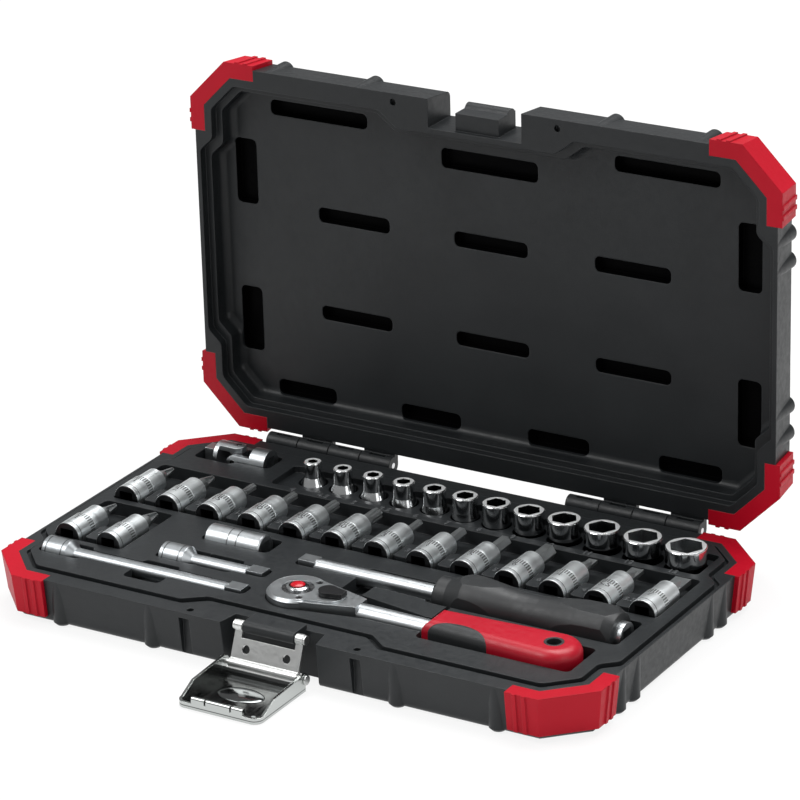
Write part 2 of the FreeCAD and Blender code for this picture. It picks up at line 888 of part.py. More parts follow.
def bit_tip(form, across):
    """The bit that is pressed into a sleeve, shank first."""
    sleeve_end = S["sleeve_length"]
    start = sleeve_end - S["bit_bore_deep"]
    length = S["bit_length"]
    shank = S["bit_shank_radius"]
    shank_end = sleeve_end + S["bit_shank_out"]
    cone_end = shank_end + S["bit_cone"]
    half = across / 2
    if form == "hex":
        body = revolve([(0, start), (shank, start), (shank, sleeve_end), (0, sleeve_end)])
        add_prism(body, "Additive", 6, across / ROOT_THREE, sleeve_end, length - sleeve_end)
        return body
    if form == "flat":
        blade_start = length - S["blade_length"]
        body = revolve([(0, start), (shank, start), (shank, shank_end),
                        (BLADE_NECK * shank, blade_start), (0, blade_start)])
        thick = BLADE_HALF * across
        add_box(body, "Additive", -half, half, -thick, thick, shank_end, length)
        return body
    if form == "star":
        body = revolve([(0, start), (shank, start), (shank, shank_end), (half, cone_end),
                        (half, length), (0, length)])
        flute = add_cylinder(body, "Subtractive", FLUTE_PLACE * half, 0, cone_end, FLUTE_SIZE * half, length)
        repeat_round(body, flute, 6)
        return body
    body = revolve([(0, start), (shank, start), (shank, shank_end), (half, cone_end),
                    (CROSS_TIP * across, length - S["cross_point"]), (CROSS_POINT * across, length),
                    (0, length)])
    arm = CROSS_ARM * across
    flute = add_box(body, "Subtractive", arm, across, arm, across, cone_end, length + OVER)
    repeat_round(body, flute, 4)
    return body


def make_bit_socket(name, form, across, x, y):
    radius = S["sleeve_radius"]
    front = S["sleeve_front_radius"]
    drive_end = S["sleeve_drive_length"]
    groove = S["sleeve_groove"]
    length = S["sleeve_length"]
    rear = S["sleeve_drive_chamfer"]
    nose = S["sleeve_front_chamfer"]
    sleeve = revolve([
        (0, 0), (radius - rear, 0), (radius, rear), (radius, drive_end),
        (front - groove / 2, drive_end + groove / 2), (front, drive_end + groove),
        (front, length - nose), (front - nose, length), (0, length),
    ])
    square_deep = S["socket_hex_deep"] + OVER
    add_prism(sleeve, "Subtractive", 4, square_radius(S["square_gap"]), -OVER, square_deep, 45)
    add_cylinder(sleeve, "Subtractive", 0, 0, length - S["bit_bore_deep"], S["bit_shank_radius"], length)
    bit = bit_tip(form, across)
    pair = doc.addObject("Part::Compound", "bit_socket")
    pair.Links = [sleeve, bit]
    return node(place(pair, x, y, S["bit_axis"], ALONG_Y), "bit_%s" % name)


# Extensions, adapter and spinner

def make_extension(name, length, x, y):
    female = S["female_radius"]
    end = S["female_length"]
    shaft = S["shaft_radius"]
    chamfer = S["female_chamfer"]
    male_start = length - S["male_length"]
    shaft_end = male_start + S["male_root"]
    body = revolve([
        (0, 0), (female - chamfer, 0), (female, chamfer), (female, end), (shaft, end + female - shaft),
        (shaft, shaft_end), (0, shaft_end),
    ])
    add_prism(body, "Additive", 4, square_radius(), male_start, S["male_length"], 45)
    square_deep = S["socket_hex_deep"] + OVER
    add_prism(body, "Subtractive", 4, square_radius(S["square_gap"]), -OVER, square_deep, 45)
    return node(place(body, x, y, S["bar_tool_axis"], ALONG_X), name)


def make_adapter():
    radius = S["adapter_radius"]
    length = S["adapter_length"]
    chamfer = S["adapter_chamfer"]
    body = revolve([(0, 0), (radius - chamfer, 0), (radius, chamfer), (radius, length - chamfer),
                    (radius - chamfer, length), (0, length)])
    add_prism(body, "Subtractive", 4, square_radius(S["square_gap"]), length - S["socket_hex_deep"],
              S["socket_hex_deep"] + OVER, 45)
    add_prism(body, "Subtractive", 6, S["drive_square"] / ROOT_THREE, -OVER, S["socket_hex_deep"] + OVER)
    return node(place(body, adapter_x, adapter_y, S["bar_tool_axis"], ALONG_X), "adapter")


def make_spinner():
    shaft_radius = S["spinner_shaft_radius"]
    shaft = S["spinner_shaft"]
    male = S["male_length"]
    rod_start = male - S["male_root"]
    tang_end = shaft + S["spinner_tang"]
    rod = revolve([(0, rod_start), (shaft_radius, rod_start), (shaft_radius, tang_end), (0, tang_end)])
    add_prism(rod, "Additive", 4, square_radius(), 0, male, 45)
    grip_radius = S["spinner_grip_radius"]
    grip_end = shaft + S["spinner_grip"]
    neck = S["spinner_neck"]
    chamfer = S["spinner_neck_chamfer"]
    swell = shaft + S["spinner_swell_in"]
    swell_end = grip_end - S["spinner_swell_out"]
    profile = [(0, shaft), (neck - chamfer, shaft), (neck, shaft + chamfer),
               (neck, shaft + S["spinner_neck_length"])]
    for step in range(WAIST_STEPS + 1):
        share = step / WAIST_STEPS
        narrowing = (grip_radius - S["spinner_waist"]) * math.sin(math.pi * share) ** 2
        profile.append((grip_radius - narrowing, swell + (swell_end - swell) * share))
    profile += [(grip_radius, grip_end - S["spinner_nose"]),
                (grip_radius - S["spinner_nose_chamfer"], grip_end), (0, grip_end)]
    grip = revolve(profile)
    add_cylinder(grip, "Subtractive", 0, 0, shaft - OVER, shaft_radius, S["spinner_tang"] + OVER)
    insert_radius = S["spinner_end_radius"]
    insert_deep = S["socket_hex_deep"] + S["spinner_end_floor"]
    add_cylinder(grip, "Subtractive", 0, 0, grip_end - insert_deep, insert_radius, insert_deep + OVER)
    insert = revolve([(0, grip_end - insert_deep), (insert_radius, grip_end - insert_deep),
                      (insert_radius, grip_end + S["spinner_end"]), (0, grip_end + S["spinner_end"])])
    add_prism(insert, "Subtractive", 4, square_radius(S["square_gap"]),
              grip_end + S["spinner_end"] - S["socket_hex_deep"], S["socket_hex_deep"] + OVER, 45)
    flat = S["spinner_grip_flat"]
    flats = box(-flat, flat, -flat, flat, shaft - OVER, grip_end + OVER, S["well_corner"])
    grip = common(grip, flats)
    for body, name in ((rod, "spinner_shaft"), (grip, "spinner_grip"), (insert, "spinner_end")):
        node(place(body, spinner_x, spinner_y, S["spinner_axis"], ALONG_X), name)


# Universal joint, with its cross at the origin of the pieces below

def joint_yoke(reach, end, drive):
    """A turned yoke along X with two rounded ears, one each side of the cross."""
    radius = S["joint_radius"]
    x, y, z = joint_x, joint_y, S["joint_axis"]
    ear = S["joint_ear"]
    gap = S["joint_gap"]
    low, high = (x - reach, x + ear) if drive else (x - ear, x + reach)
    round_bar = cylinder(x - 2 * reach, y, z, radius, 4 * reach, ALONG_X)
    ears = []
    for side in (-1, 1):
        inner, outer = ordered(side * gap, side * (radius + OVER))
        near, far = (low, x) if drive else (x, high)
        if drive:
            ears.append(box(near, far, y - ear, y + ear, z + inner, z + outer))
            ears.append(cylinder(x, y, z + inner, ear, outer - inner))
        else:
            ears.append(box(near, far, y + inner, y + outer, z - ear, z + ear))
            ears.append(cylinder(x, y + inner, z, ear, outer - inner, ALONG_Y))
    hub_start = x - reach - end if drive else x + reach
    hub = cylinder(hub_start, y, z, radius, end, ALONG_X)
    return fuse([common(fuse(ears), round_bar), hub])


def make_universal_joint():
    x, y, z = joint_x, joint_y, S["joint_axis"]
    radius = S["joint_radius"]
    trunnion = S["trunnion_radius"]
    bore = trunnion + S["pin_clearance"]
    reach = S["joint_reach"]
    across_y = cylinder(x, y - 2 * radius, z, bore, 4 * radius, ALONG_Y)
    socket_end = S["joint_socket_end"] - reach
    deep = S["socket_hex_deep"] - OVER
    square = doc.addObject("Part::Prism", "square_bore")
    square.Polygon = 4
    bind(square, "Circumradius", square_radius(S["square_gap"]))
    bind(square, "Height", deep + OVER)
    turned_square = ALONG_X.multiply(Rotation(Vector(0, 0, 1), 45))
    place(square, x + reach + socket_end - deep, y, z, turned_square)
    node(cut(joint_yoke(reach, socket_end, False), [across_y, square]), "joint_socket_yoke")
    upright = cylinder(x, y, z - 2 * radius, bore, 4 * radius)
    drive_yoke = cut(joint_yoke(reach, S["joint_hub"], True), [upright])
    tip = doc.addObject("Part::Prism", "square_tip")
    tip.Polygon = 4
    bind(tip, "Circumradius", square_radius())
    bind(tip, "Height", S["joint_square"])
    place(tip, x - reach - joint_tip, y, z, turned_square)
    node(fuse([drive_yoke, tip]), "joint_drive_yoke")
    half = S["joint_gap"] - S["seat_gap"]
    cube = box(x - half, x + half, y - half, y + half, z - half, z + half)
    pin_y = cylinder(x, y - radius, z, trunnion, 2 * radius, ALONG_Y)
    pin_z = cylinder(x, y, z - radius, trunnion, 2 * radius)
    node(fuse([cube, pin_y, pin_z]), "joint_cross")


# Ratchet

def make_ratchet():
    x, y, z = ratchet_x, ratchet_y, S["ratchet_axis"]
    half = S["head_half"]
    head_radius = S["head_radius"]
    neck_end = x + S["neck_length"]
    neck_half = S["neck_half"]
    edge = S["head_chamfer"]
    head = place(revolve([(0, -half), (head_radius - edge, -half), (head_radius, edge - half),
                          (head_radius, half - edge), (head_radius - edge, half), (0, half)]), x, y, z)
    neck_in = S["neck_in"]
    neck_down = S["neck_down"]
    neck = prism([(x, y - head_radius + neck_in), (neck_end, y - neck_half), (neck_end, y + neck_half),
                  (x, y + head_radius - neck_in)], z - half + neck_down, 2 * half - 2 * neck_down)
    handle_x = x + S["handle_start"]
    root = S["shank_root"]
    shank_end = S["handle_start"] - S["neck_length"]
    shank = place(revolve([(0, -root), (neck_half, -root), (neck_half - S["shank_taper"], shank_end),
                           (0, shank_end)]), neck_end, y, z, ALONG_X)
    tang = cylinder(handle_x - S["tang_root"], y, z, S["tang_radius"], S["tang_length"], ALONG_X)
    gear_room = S["gear_half"] + S["seat_gap"] / 2
    cover_low = z + half - S["cover_thick"]
    pawl_x = x + S["pawl_x"]
    cover = S["cover_radius"]
    tail = S["cover_tail"]
    side_in = S["cover_side_in"]
    tail_in = S["cover_tail_in"]
    cover_form = fuse([
        cylinder(x, y, cover_low, cover, S["cover_thick"]),
        cylinder(pawl_x, y, cover_low, tail, S["cover_thick"]),
        prism([(x, y - cover + side_in), (pawl_x, y - tail + tail_in), (pawl_x, y + tail - tail_in),
               (x, y + cover - side_in)], cover_low, S["cover_thick"]),
    ])
    gear_bore = S["gear_tip"] + S["seat_gap"]
    hub_bore = S["hub_radius"] + S["seat_gap"] / 2
    pawl_room = S["pawl_radius"] + S["seat_gap"]
    node(cut(fuse([head, neck, shank, tang]), [
        cover_form,
        cylinder(x, y, z - gear_room, gear_bore, half + gear_room),
        cylinder(x, y, z - half - OVER, hub_bore, half),
        cylinder(pawl_x, y, z - gear_room, pawl_room, half + gear_room),
    ]), "ratchet_body")
    screw_holes = [cylinder(x + S["cover_screw_x"], y + side * S["cover_screw_y"], cover_low - OVER,
                            S["cover_screw_radius"], S["cover_thick"] + 2 * OVER) for side in (-1, 1)]
    stem_bore = S["lever_stem"] + S["pin_clearance"]
    node(cut(cover_form, screw_holes + [
        cylinder(x, y, cover_low - OVER, hub_bore, S["cover_thick"] + 2 * OVER),
        cylinder(pawl_x, y, cover_low - OVER, stem_bore, S["cover_thick"] + 2 * OVER),
    ]), "ratchet_cover")
    screws = doc.addObject("Part::Compound", "screws")
    screws.Links = [cylinder(x + S["cover_screw_x"], y + side * S["cover_screw_y"], cover_low,
                             S["cover_screw_radius"], S["cover_thick"] - S["cover_screw_down"])
                    for side in (-1, 1)]
    node(screws, "ratchet_cover_screws")
    make_gear(x, y, z)
    button_low = z + S["button_well"] + S["button_travel"] + S["seat_gap"]
    button_top = z + half + S["button_proud"]
    button_radius = S["button_radius"]
    button_height = button_top - button_low
    button = revolve([(0, 0), (button_radius, 0), (button_radius, button_height - S["button_bevel_height"]),
                      (button_radius - S["button_bevel"], button_height), (0, button_height)])
    node(place(button, x, y, button_low), "ratchet_button")
    gear_half = S["gear_half"]
    pawl = common(cylinder(pawl_x, y, z - gear_half, S["pawl_radius"], 2 * gear_half),
                  box(pawl_x - 2 * S["pawl_radius"], pawl_x + S["lever_stem"], y - S["pawl_radius"],
                      y + S["pawl_radius"], z - gear_half, z + gear_half))
    node(pawl, "ratchet_pawl")
    plate_low = z + half + S["seat_gap"]
    plate = S["lever_plate"]
    root_half = S["lever_root_half"]
    tip_half = S["lever_tip_half"]
    tip_x = pawl_x + S["lever_reach"]
    node(fuse([
        cylinder(pawl_x, y, z + gear_half, S["lever_stem"], half + plate + S["seat_gap"] - gear_half),
        cylinder(pawl_x, y, plate_low, S["lever_hub"], plate),
        prism([(pawl_x, y - root_half), (tip_x, y - tip_half), (tip_x, y + tip_half),
               (pawl_x, y + root_half)], plate_low, plate),
    ]), "ratchet_reverse_lever")
    make_handle(handle_x, y, z)


def make_gear(x, y, z):
    """Toothed drive with its square below and its hub in the cover."""
    tip = S["gear_tip"]
    half = S["gear_half"]
    hub = S["hub_radius"]
    bottom = S["head_half"]
    hub_top = bottom - S["hub_down"]
    gear = revolve([
        (0, -bottom), (hub, -bottom), (hub, -half), (tip, -half), (tip, half), (hub, half),
        (hub, hub_top), (0, hub_top),
    ])
    add_prism(gear, "Additive", 4, square_radius(), -bottom - S["drive_length"], S["drive_length"], 45)
    add_cylinder(gear, "Subtractive", 0, 0, S["button_well"], S["button_radius"] + S["button_gap"], bottom)
    notch = gear.newObject("PartDesign::SubtractivePrism", "notch")
    notch.Polygon = 3
    bind(notch, "Circumradius", S["gear_notch"])
    bind(notch, "Height", 2 * half)
    place(notch, tip, 0, -half, Rotation(Vector(0, 0, 1), 180))
    repeat_round(gear, notch, SIZES["gear_teeth"])
    node(place(gear, x, y, z), "ratchet_gear")


def make_handle(start, y, z):
    """Moulded grip on the tang, with a softer inlay let into its front side and an eyelet at its end."""
    half_end = S["handle_half_end"]
    thick = S["handle_thick"]
    low = z - thick / 2
    end_x = start + S["handle_length"] - half_end
    blank = fuse([
        prism([(start, y - S["handle_half_start"]), (end_x, y - half_end), (end_x, y + half_end),
               (start, y + S["handle_half_start"])], low, thick),
        cylinder(end_x, y, low, half_end, thick),
    ])
    doc.recompute()
    limits = (low.value, low.value + thick.value)
    rims = []
    for index, edge in enumerate(blank.Shape.Edges, 1):
        heights = [vertex.Z for vertex in edge.Vertexes]
        flat = max(heights) - min(heights) < 1e-6
        if flat and min(abs(heights[0] - limit) for limit in limits) < 1e-6:
            rims.append(index)
    grip = doc.addObject("Part::Fillet", "grip")
    grip.Base = blank
    grip.Edges = [(index, SIZES["handle_round"], SIZES["handle_round"]) for index in rims]
    inlay_x = ratchet_x + S["inlay_x"]
    inlay_y = y - (S["handle_half_start"] + half_end) / 2 + S["inlay_deep"] - S["inlay_radius"]
    arch = cylinder(inlay_x, inlay_y, low - OVER, S["inlay_radius"], thick + 2 * OVER)
    eyelet_radius = S["handle_hole"] + S["eyelet_wall"]
    hole = cylinder(end_x, y, low - OVER, eyelet_radius, thick + 2 * OVER)
    eyelet = cut(cylinder(end_x, y, low, eyelet_radius, thick),
                 [cylinder(end_x, y, low - OVER, S["handle_hole"], thick + 2 * OVER)])
    tang_in = S["tang_length"] + OVER - S["tang_root"]
    socket = cylinder(start - OVER, y, z, S["tang_radius"], tang_in, ALONG_X)
    node(cut(grip, [arch, hole, socket]), "ratchet_handle")
    soft_parts = doc.addObject("Part::Compound", "soft_parts")
    soft_parts.Links = [common(grip, arch), eyelet]
    node(soft_parts, "ratchet_handle_inlay")


# Latch

def make_latch():
    sheet = S["sheet"]
    pin = S["latch_pin_radius"]
    loop = S["loop_radius"]
    link_half = S["link_half"]
    ear = S["ear_width"]
    length = S["link_length"]
    bore = pin + S["pin_clearance"]
    plate_low = latch_z - length
    plate_top = latch_z - S["bar_radius"] - S["link_top_gap"]
    forms = [box(-link_half, link_half, latch_y - sheet / 2, latch_y + sheet / 2, plate_low, plate_top),
             cylinder(-link_half, latch_y, plate_low, loop, 2 * link_half, ALONG_X)]
    for side in (-1, 1):
        near, far = ordered(side * (link_half - ear), side * link_half)
        forms.append(box(near, far, latch_y - sheet / 2, latch_y + sheet / 2, plate_low, latch_z))
        forms.append(cylinder(near, latch_y, latch_z, loop, ear, ALONG_X))
    hole_z = (plate_low + plate_top) / 2 + S["link_hole_rise"]
    hole = S["link_hole_radius"]
    holes = [cylinder(side * S["link_hole_x"], latch_y - OVER, hole_z, hole, 2 * OVER, ALONG_Y)
             for side in (-1, 1)]
    holes.append(cylinder(-link_half - OVER, latch_y, latch_z, bore, 2 * link_half + 2 * OVER, ALONG_X))
    holes.append(cylinder(-link_half - OVER, latch_y, plate_low, pin, 2 * link_half + 2 * OVER, ALONG_X))
    link = node(cut(fuse(forms), holes), "latch_link")
    link.Placement = Placement(Vector(), Rotation(Vector(1, 0, 0), -SIZES["link_tilt"]),
                               Vector(0, latch_y.value, latch_z.value))
    node(headed_pin(latch_y, latch_z, link_half), "latch_bar_pin")
    node(headed_pin(lever_y, lever_z, S["lever_half"]), "latch_lever_pin")
    make_lever(bore)


def headed_pin(y, z, half):
    """A pin along X with a riveted head outside each end of what it carries."""
    shank_half = half + S["pin_head_gap"]
    head = S["pin_head"]
    parts = [cylinder(-shank_half, y, z, S["latch_pin_radius"], 2 * shank_half, ALONG_X)]
    for start in (-shank_half - head, shank_half):
        parts.append(cylinder(start, y, z, S["pin_head_radius"], head, ALONG_X))
    return fuse(parts)


def make_lever(bore):
    """Pressed tray with rounded front corners, high flanges at the pin and a folded front lip."""
    sheet = S["sheet"]
    half = S["lever_half"]
    corner = S["lever_corner"]
    tip_y = lever_y - S["lever_length"]
    plate_back = lever_y - S["loop_radius"] - S["lever_back_gap"]
    low = lever_z - S["lever_drop"]
    toe_top = low + S["lever_toe_height"]
    far = plate_back + 2 * corner
    above = toe_top + OVER
    tray = cut(box(-half, half, tip_y, plate_back + corner, low, toe_top, corner),
               [box(sheet - half, half - sheet, tip_y + sheet, far, low + sheet, above, corner - sheet),
                box(-half - OVER, half + OVER, plate_back, far, low - OVER, above)])
    flange_front = tip_y + corner
    boss = S["lever_boss"]
    side = [(flange_front, low + sheet), (flange_front, toe_top),
            (flange_front + S["lever_toe"], low + S["lever_flange"]),
            (lever_y, lever_z + boss), (lever_y, low), (plate_back - corner, low)]
    pieces = [tray]
    for start in (-half, half - sheet):
        pieces.append(side_plate(side, start, sheet))
        pieces.append(cylinder(start, lever_y, lever_z, boss, sheet, ALONG_X))
    lip_half = S["lever_lip_half"]
    lip_top = low + S["lever_lip"]
    pieces.append(box(-lip_half, lip_half, tip_y, tip_y + sheet, low, lip_top))
    pieces.append(cylinder(-lip_half, tip_y + sheet, lip_top, sheet, 2 * lip_half, ALONG_X))
    hole_x = lip_half + S["lever_hole_in"]
    holes = [cylinder(-half - OVER, lever_y, lever_z, bore, 2 * half + 2 * OVER, ALONG_X),
             cylinder(hole_x, tip_y + corner, low - OVER, S["lever_hole"], sheet + 2 * OVER)]
    for slit in (-S["lever_slit_x"], S["lever_slit_x"]):
        holes.append(box(slit, slit + S["lever_slit"], tip_y - OVER, tip_y + 2 * sheet + OVER,
                         lip_top - sheet, lip_top + sheet + OVER))
    node(cut(fuse(pieces), holes), "latch_lever")


# Box halves

def socket_wells():
    """A round well for each socket, in a trough that bares the mouths."""
    places = socket_places()
    floor = S["socket_top"] - S["socket_length"] - S["seat_gap"]
    wells = []
    for x, y, reach in places:
        wells.append(cylinder(x, y, floor, reach + S["side_gap"], tray_top + OVER - floor))
    first, last = places[0], places[-1]
    wells.append(well(first[0] - S["trough_left"], last[0] + last[2] + S["trough_right"],
                      socket_back_line - S["trough_front"], socket_back_line + S["trough_back"],
                      S["trough_floor"]))
    return wells


def bit_wells():
    """A trough for each row of bit sockets, with stepped dividers left standing between them."""
    reach = S["sleeve_radius"] + S["bit_side_gap"]
    floor = S["bit_axis"] - S["sleeve_radius"] - S["seat_gap"]
    half = S["divider_width"] / 2
    corner = S["divider_round"]
    step_top = tray_top - S["divider_step"]
    wells = []
    for count, row in ((len(BACK_BITS), bits_y), (len(FRONT_BITS), front_bits_y)):
        end = bits_x + (count - 1) * bit_pitch + reach
        trough = well(bits_x - reach, end, row - S["bit_back_gap"],
                      row + S["bit_length"] + S["bit_front_gap"], floor)
        dividers = []
        for index in range(count - 1):
            middle = bits_x + (index + 0.5) * bit_pitch
            span = (middle - half, middle + half)
            dividers.append(box(*span, row + S["divider_start"], row + S["divider_high_end"],
                                floor - OVER, tray_top, corner))
            dividers.append(box(*span, row + S["divider_low_start"], row + S["divider_end"],
                                floor - OVER, step_top, corner))
        wells.append(cut(trough, dividers))
    return wells


def bar_wells():
    """Pockets of the two extensions, each with finger room, and of the adapter."""
    seat = S["seat_gap"]
    side = S["side_gap"]
    end = S["end_gap"]
    axis = S["bar_tool_axis"]
    female = S["female_radius"] + side
    thin = square_radius() / ROOT_TWO + S["male_gap"]
    deep = axis - S["female_radius"] - seat
    shallow = axis - S["shaft_radius"] - seat
    wells = []
    for length, x, y, front in ((S["long_extension"], long_extension_x, long_extension_y, S["finger_room"]),
                                (S["short_extension"], short_extension_x, short_extension_y, 0.0)):
        shaft_start = x + S["female_length"]
        wells.append(well(x - end, shaft_start + S["female_room"], y - female, y + female, deep))
        wells.append(well(shaft_start, x + length + end, y - thin, y + thin, shallow))
        finger = x + FINGER_PLACE * length
        wells.append(well(finger - S["finger_half"], finger + S["finger_half"], y - female - front,
                          y + female, deep))
    reach = S["adapter_radius"] + side
    wells.append(well(adapter_x - end, adapter_x + S["adapter_length"] + S["adapter_room"],
                      adapter_y - reach, adapter_y + reach, axis - S["adapter_radius"] - seat))
    return wells


def joint_wells():
    """Pocket of the universal joint, widened to the front for its swing and deeper under the cross."""
    joint = S["joint_radius"] + S["side_gap"]
    floor = S["joint_axis"] - S["joint_radius"] - S["seat_gap"]
    left = joint_x - S["joint_reach"] - S["joint_hub"] - S["end_gap"]
    front = joint_y - joint - S["joint_swing"]
    back = joint_y + joint
    tip_back = joint_y + square_radius() / ROOT_TWO + S["joint_tip_gap"]
    return [
        well(left, joint_x + S["joint_socket_end"] + S["joint_socket_room"], joint_y - joint, back, floor),
        well(left, joint_x + S["joint_swing_end"], front, back, floor),
        well(joint_x - S["joint_reach"] - joint_tip - S["joint_tip_room"], left + S["joint_tip_lap"], front,
             tip_back, floor + S["joint_tip_rise"]),
        well(joint_x - S["joint_radius"], joint_x + S["joint_radius"], joint_y - joint, back,
             floor - S["joint_relief"]),
    ]


def spinner_wells():
    """Pocket of the spinner handle and the finger room in front of its shaft."""
    seat = S["seat_gap"]
    x, y, axis = spinner_x, spinner_y, S["spinner_axis"]
    thin = S["spinner_shaft_radius"] + S["spinner_shaft_gap"]
    wide = S["spinner_grip_radius"] + S["side_gap"]
    shaft = S["spinner_shaft"]
    end = x + spinner_length + S["end_gap"]
    room_left = x + S["room_in"]
    room_right = x + shaft + S["room_out"]
    room_front = ratchet_y + S["neck_half"] + S["room_front"]
    room = well(room_left, room_right, room_front, y + thin + S["room_back"], S["room_floor"])
    left = room_left + S["island_in"]
    right = room_right - S["island_out"]
    island = prism([(left, ratchet_y + S["island_front"]), (right, ratchet_y + S["island_front_out"]),
                    (right, y - wide + S["island_back_out"]),
                    (left + S["island_lean"], y - thin - S["island_back"])],
                   S["room_floor"] - OVER, tray_top + OVER - S["room_floor"])
    return [
        well(x - S["end_gap"], x + shaft + S["spinner_shaft_room"], y - thin, y + thin,
             axis - S["spinner_shaft_radius"] - seat),
        well(x + shaft - S["spinner_grip_lap"], end, y - wide, y + wide,
             axis - S["spinner_grip_radius"] - seat),
        cut(room, [island]),
    ]


def ratchet_wells():
    """Pocket of the ratchet, deeper under its square and its handle."""
    seat = S["seat_gap"]
    x, y, z = ratchet_x, ratchet_y, S["ratchet_axis"]
    floor = z - S["head_half"] - seat
    top = tray_top + OVER
    start = x + S["handle_start"]
    end_gap = S["end_gap"]
    wide = S["handle_half_end"] + S["side_gap"]
    head = S["head_radius"] + S["side_gap"]
    neck = S["neck_half"] + S["neck_gap"]
    neck_end = x + S["neck_length"] + S["neck_room"]
    square_floor = z - S["head_half"] - S["drive_length"] - seat
    return [
        cylinder(x, y, floor, head, top - floor),
        cylinder(x, y, square_floor, S["hub_radius"], top - square_floor),
        prism([(x, y - head), (neck_end, y - neck), (neck_end, y + neck), (x, y + head)], floor, top - floor),
        well(x + S["neck_length"], start + S["handle_room"], y - neck, y + neck, floor),
        well(start - end_gap, start + S["handle_length"] + end_gap, y - wide, y + wide,
             z - S["handle_thick"] / 2 - seat),
    ]


def tool_wells():
    """Every pocket of the tray, sized from the tool that lies in it."""
    wells = socket_wells() + bit_wells() + bar_wells()
    return wells + joint_wells() + spinner_wells() + ratchet_wells()


def rim_holes(up):
    """Shallow vent holes in the rim beside the latch."""
    deep = S["rim_hole_deep"]
    low = rim - OVER if up else rim - deep
    y = front_face + S["rim_hole_in"]
    return [cylinder(side * S["rim_hole_x"], y, low, S["rim_hole_radius"], deep + OVER) for side in (-1, 1)]


def latch_recess(half, low, high, deep, flare):
    return prism([(-half - flare, front_face - OVER), (half + flare, front_face - OVER),
                  (half, front_face + deep), (-half, front_face + deep)], low, Size.of(high) - low)


def make_base():
    guards = node(corner_guards(False), "base_corner_guards")
    outside = octagon(0.0, rim, rim, False, S["draft_angle"])
    round_far_edge(outside, S["edge_round"])
    tray = tray_block(0.0, rim - OVER, S["tray_rise"] + OVER)
    knuckles, bores = hinge_leaf(False, hinge_z - S["knuckle_radius"], hinge_z, S["hinge_pin_radius"])
    seal = cut(tray_block(S["seal_width"], rim - S["seal_deep"], S["seal_deep"] + OVER),
               [tray_block(0.0, rim - S["seal_deep"] - OVER, S["seal_deep"] + 3 * OVER)])
    grooves = []
    for side in (-1, 1):
        near, far = ordered(side * S["wall_groove_x"], side * (S["wall_groove_x"] + S["wall_groove_width"]))
        grooves.append(box(near, far, front_face - OVER, front_face + S["wall_groove_deep"], -OVER,
                           rim - S["wall_groove_top"]))
    recess = latch_recess(S["recess_half"], -OVER, tray_top + OVER, S["recess_deep"], S["recess_flare"])
    carved = cut(fuse([outside, tray] + wall_ribs(False) + knuckles),
                 [guards, seal, recess] + grooves + rim_holes(False) + bores + tool_wells())
    bar_half = S["bar_half"]
    bar_radius = S["bar_radius"]
    bar_back = front_face + S["recess_deep"] + S["bar_root"]
    bar = fuse([
        cylinder(-bar_half, latch_y, latch_z, bar_radius, 2 * bar_half, ALONG_X),
        box(-bar_half, bar_half, latch_y, bar_back, latch_z - bar_radius, latch_z + bar_radius),
    ])
    bore_half = bar_half + OVER
    bar_bore = cylinder(-bore_half, latch_y, latch_z, S["latch_pin_radius"], 2 * bore_half, ALONG_X)
    node(fuse([carved, cut(bar, [bar_bore])]), "base_shell")
    pin_length = 4 * S["knuckle_width"] - S["knuckle_gap"]
    for side, name in ((-1, "hinge_pin_left"), (1, "hinge_pin_right")):
        start = side * S["hinge_centre"] - pin_length / 2
        node(cylinder(start, hinge_y, hinge_z, S["hinge_pin_radius"], pin_length, ALONG_X), name)


def make_lid():
    guards = corner_guards(True)
    outside = octagon(0.0, rim, S["lid_height"], True, S["draft_angle"])
    round_far_edge(outside, S["edge_round"])
    web_low = rim + S["seam_gap"]
    knuckles, bores = hinge_leaf(True, web_low, hinge_z + S["knuckle_radius"],
                                 S["hinge_pin_radius"] + S["pin_clearance"])
    panel = rim + S["hollow_deep"]
    ledge = tray_block(S["lid_gap"], rim - OVER, S["ledge_deep"] + OVER)
    hollow = tray_block(S["lid_gap"] - S["hollow_step"], rim - OVER, S["hollow_deep"] + OVER)
    round_far_edge(hollow, S["hollow_round"])
    slots = [box(x - length / 2, x + length / 2, y - width / 2, y + width / 2, panel - OVER,
                 panel + S["slot_deep"], S["slot_round"]) for x, y, length, width in lid_slots()]
    lid_top = rim + S["lid_height"]
    recess = latch_recess(S["lid_recess_half"], rim - OVER, lid_top + OVER, S["lid_recess_deep"], 0.0)
    cleared = cut(fuse([outside] + wall_ribs(True) + knuckles),
                  [guards, ledge, hollow, recess] + rim_holes(True) + bores + slots)
    catch_half = S["catch_half"]
    catch_top = lid_top - S["catch_drop"]
    catch_low = latch_z + S["bar_radius"] + S["seam_gap"]
    catch_face = front_face + S["catch_sunk"]
    catch_back = front_face + S["lid_recess_deep"] + S["catch_root"]
    hook = S["catch_hook"]
    catch = fuse([
        box(-catch_half, catch_half, catch_face, catch_back, catch_low, catch_top),
        cylinder(-catch_half, catch_face + hook / 2, catch_top - hook, hook, 2 * catch_half, ALONG_X),
    ])
    shell = node(fuse([cleared, catch]), "lid_shell")
    guard_set = doc.addObject("Part::Compound", "guard_set")
    guard_set.Links = [guards]
    node(guard_set, "lid_corner_guards")
    for piece in (shell, guard_set):
        piece.Placement = open_lid


def write_parts():
    """Check every object and sub-part, then write one file for each sub-part."""
    doc.recompute()
    for thing in doc.Objects:
        if "Invalid" in thing.State or "Error" in thing.State:
            raise RuntimeError("%s failed: %s" % (thing.Name, thing.State))
    os.makedirs("parts", exist_ok=True)
    for part in nodes:
        if part.Shape.isNull() or not part.Shape.isValid():
            raise RuntimeError("%s has no valid shape" % part.Label)
    for part in nodes:
        part.Shape.exportStep("parts/%s.step" % part.Label)


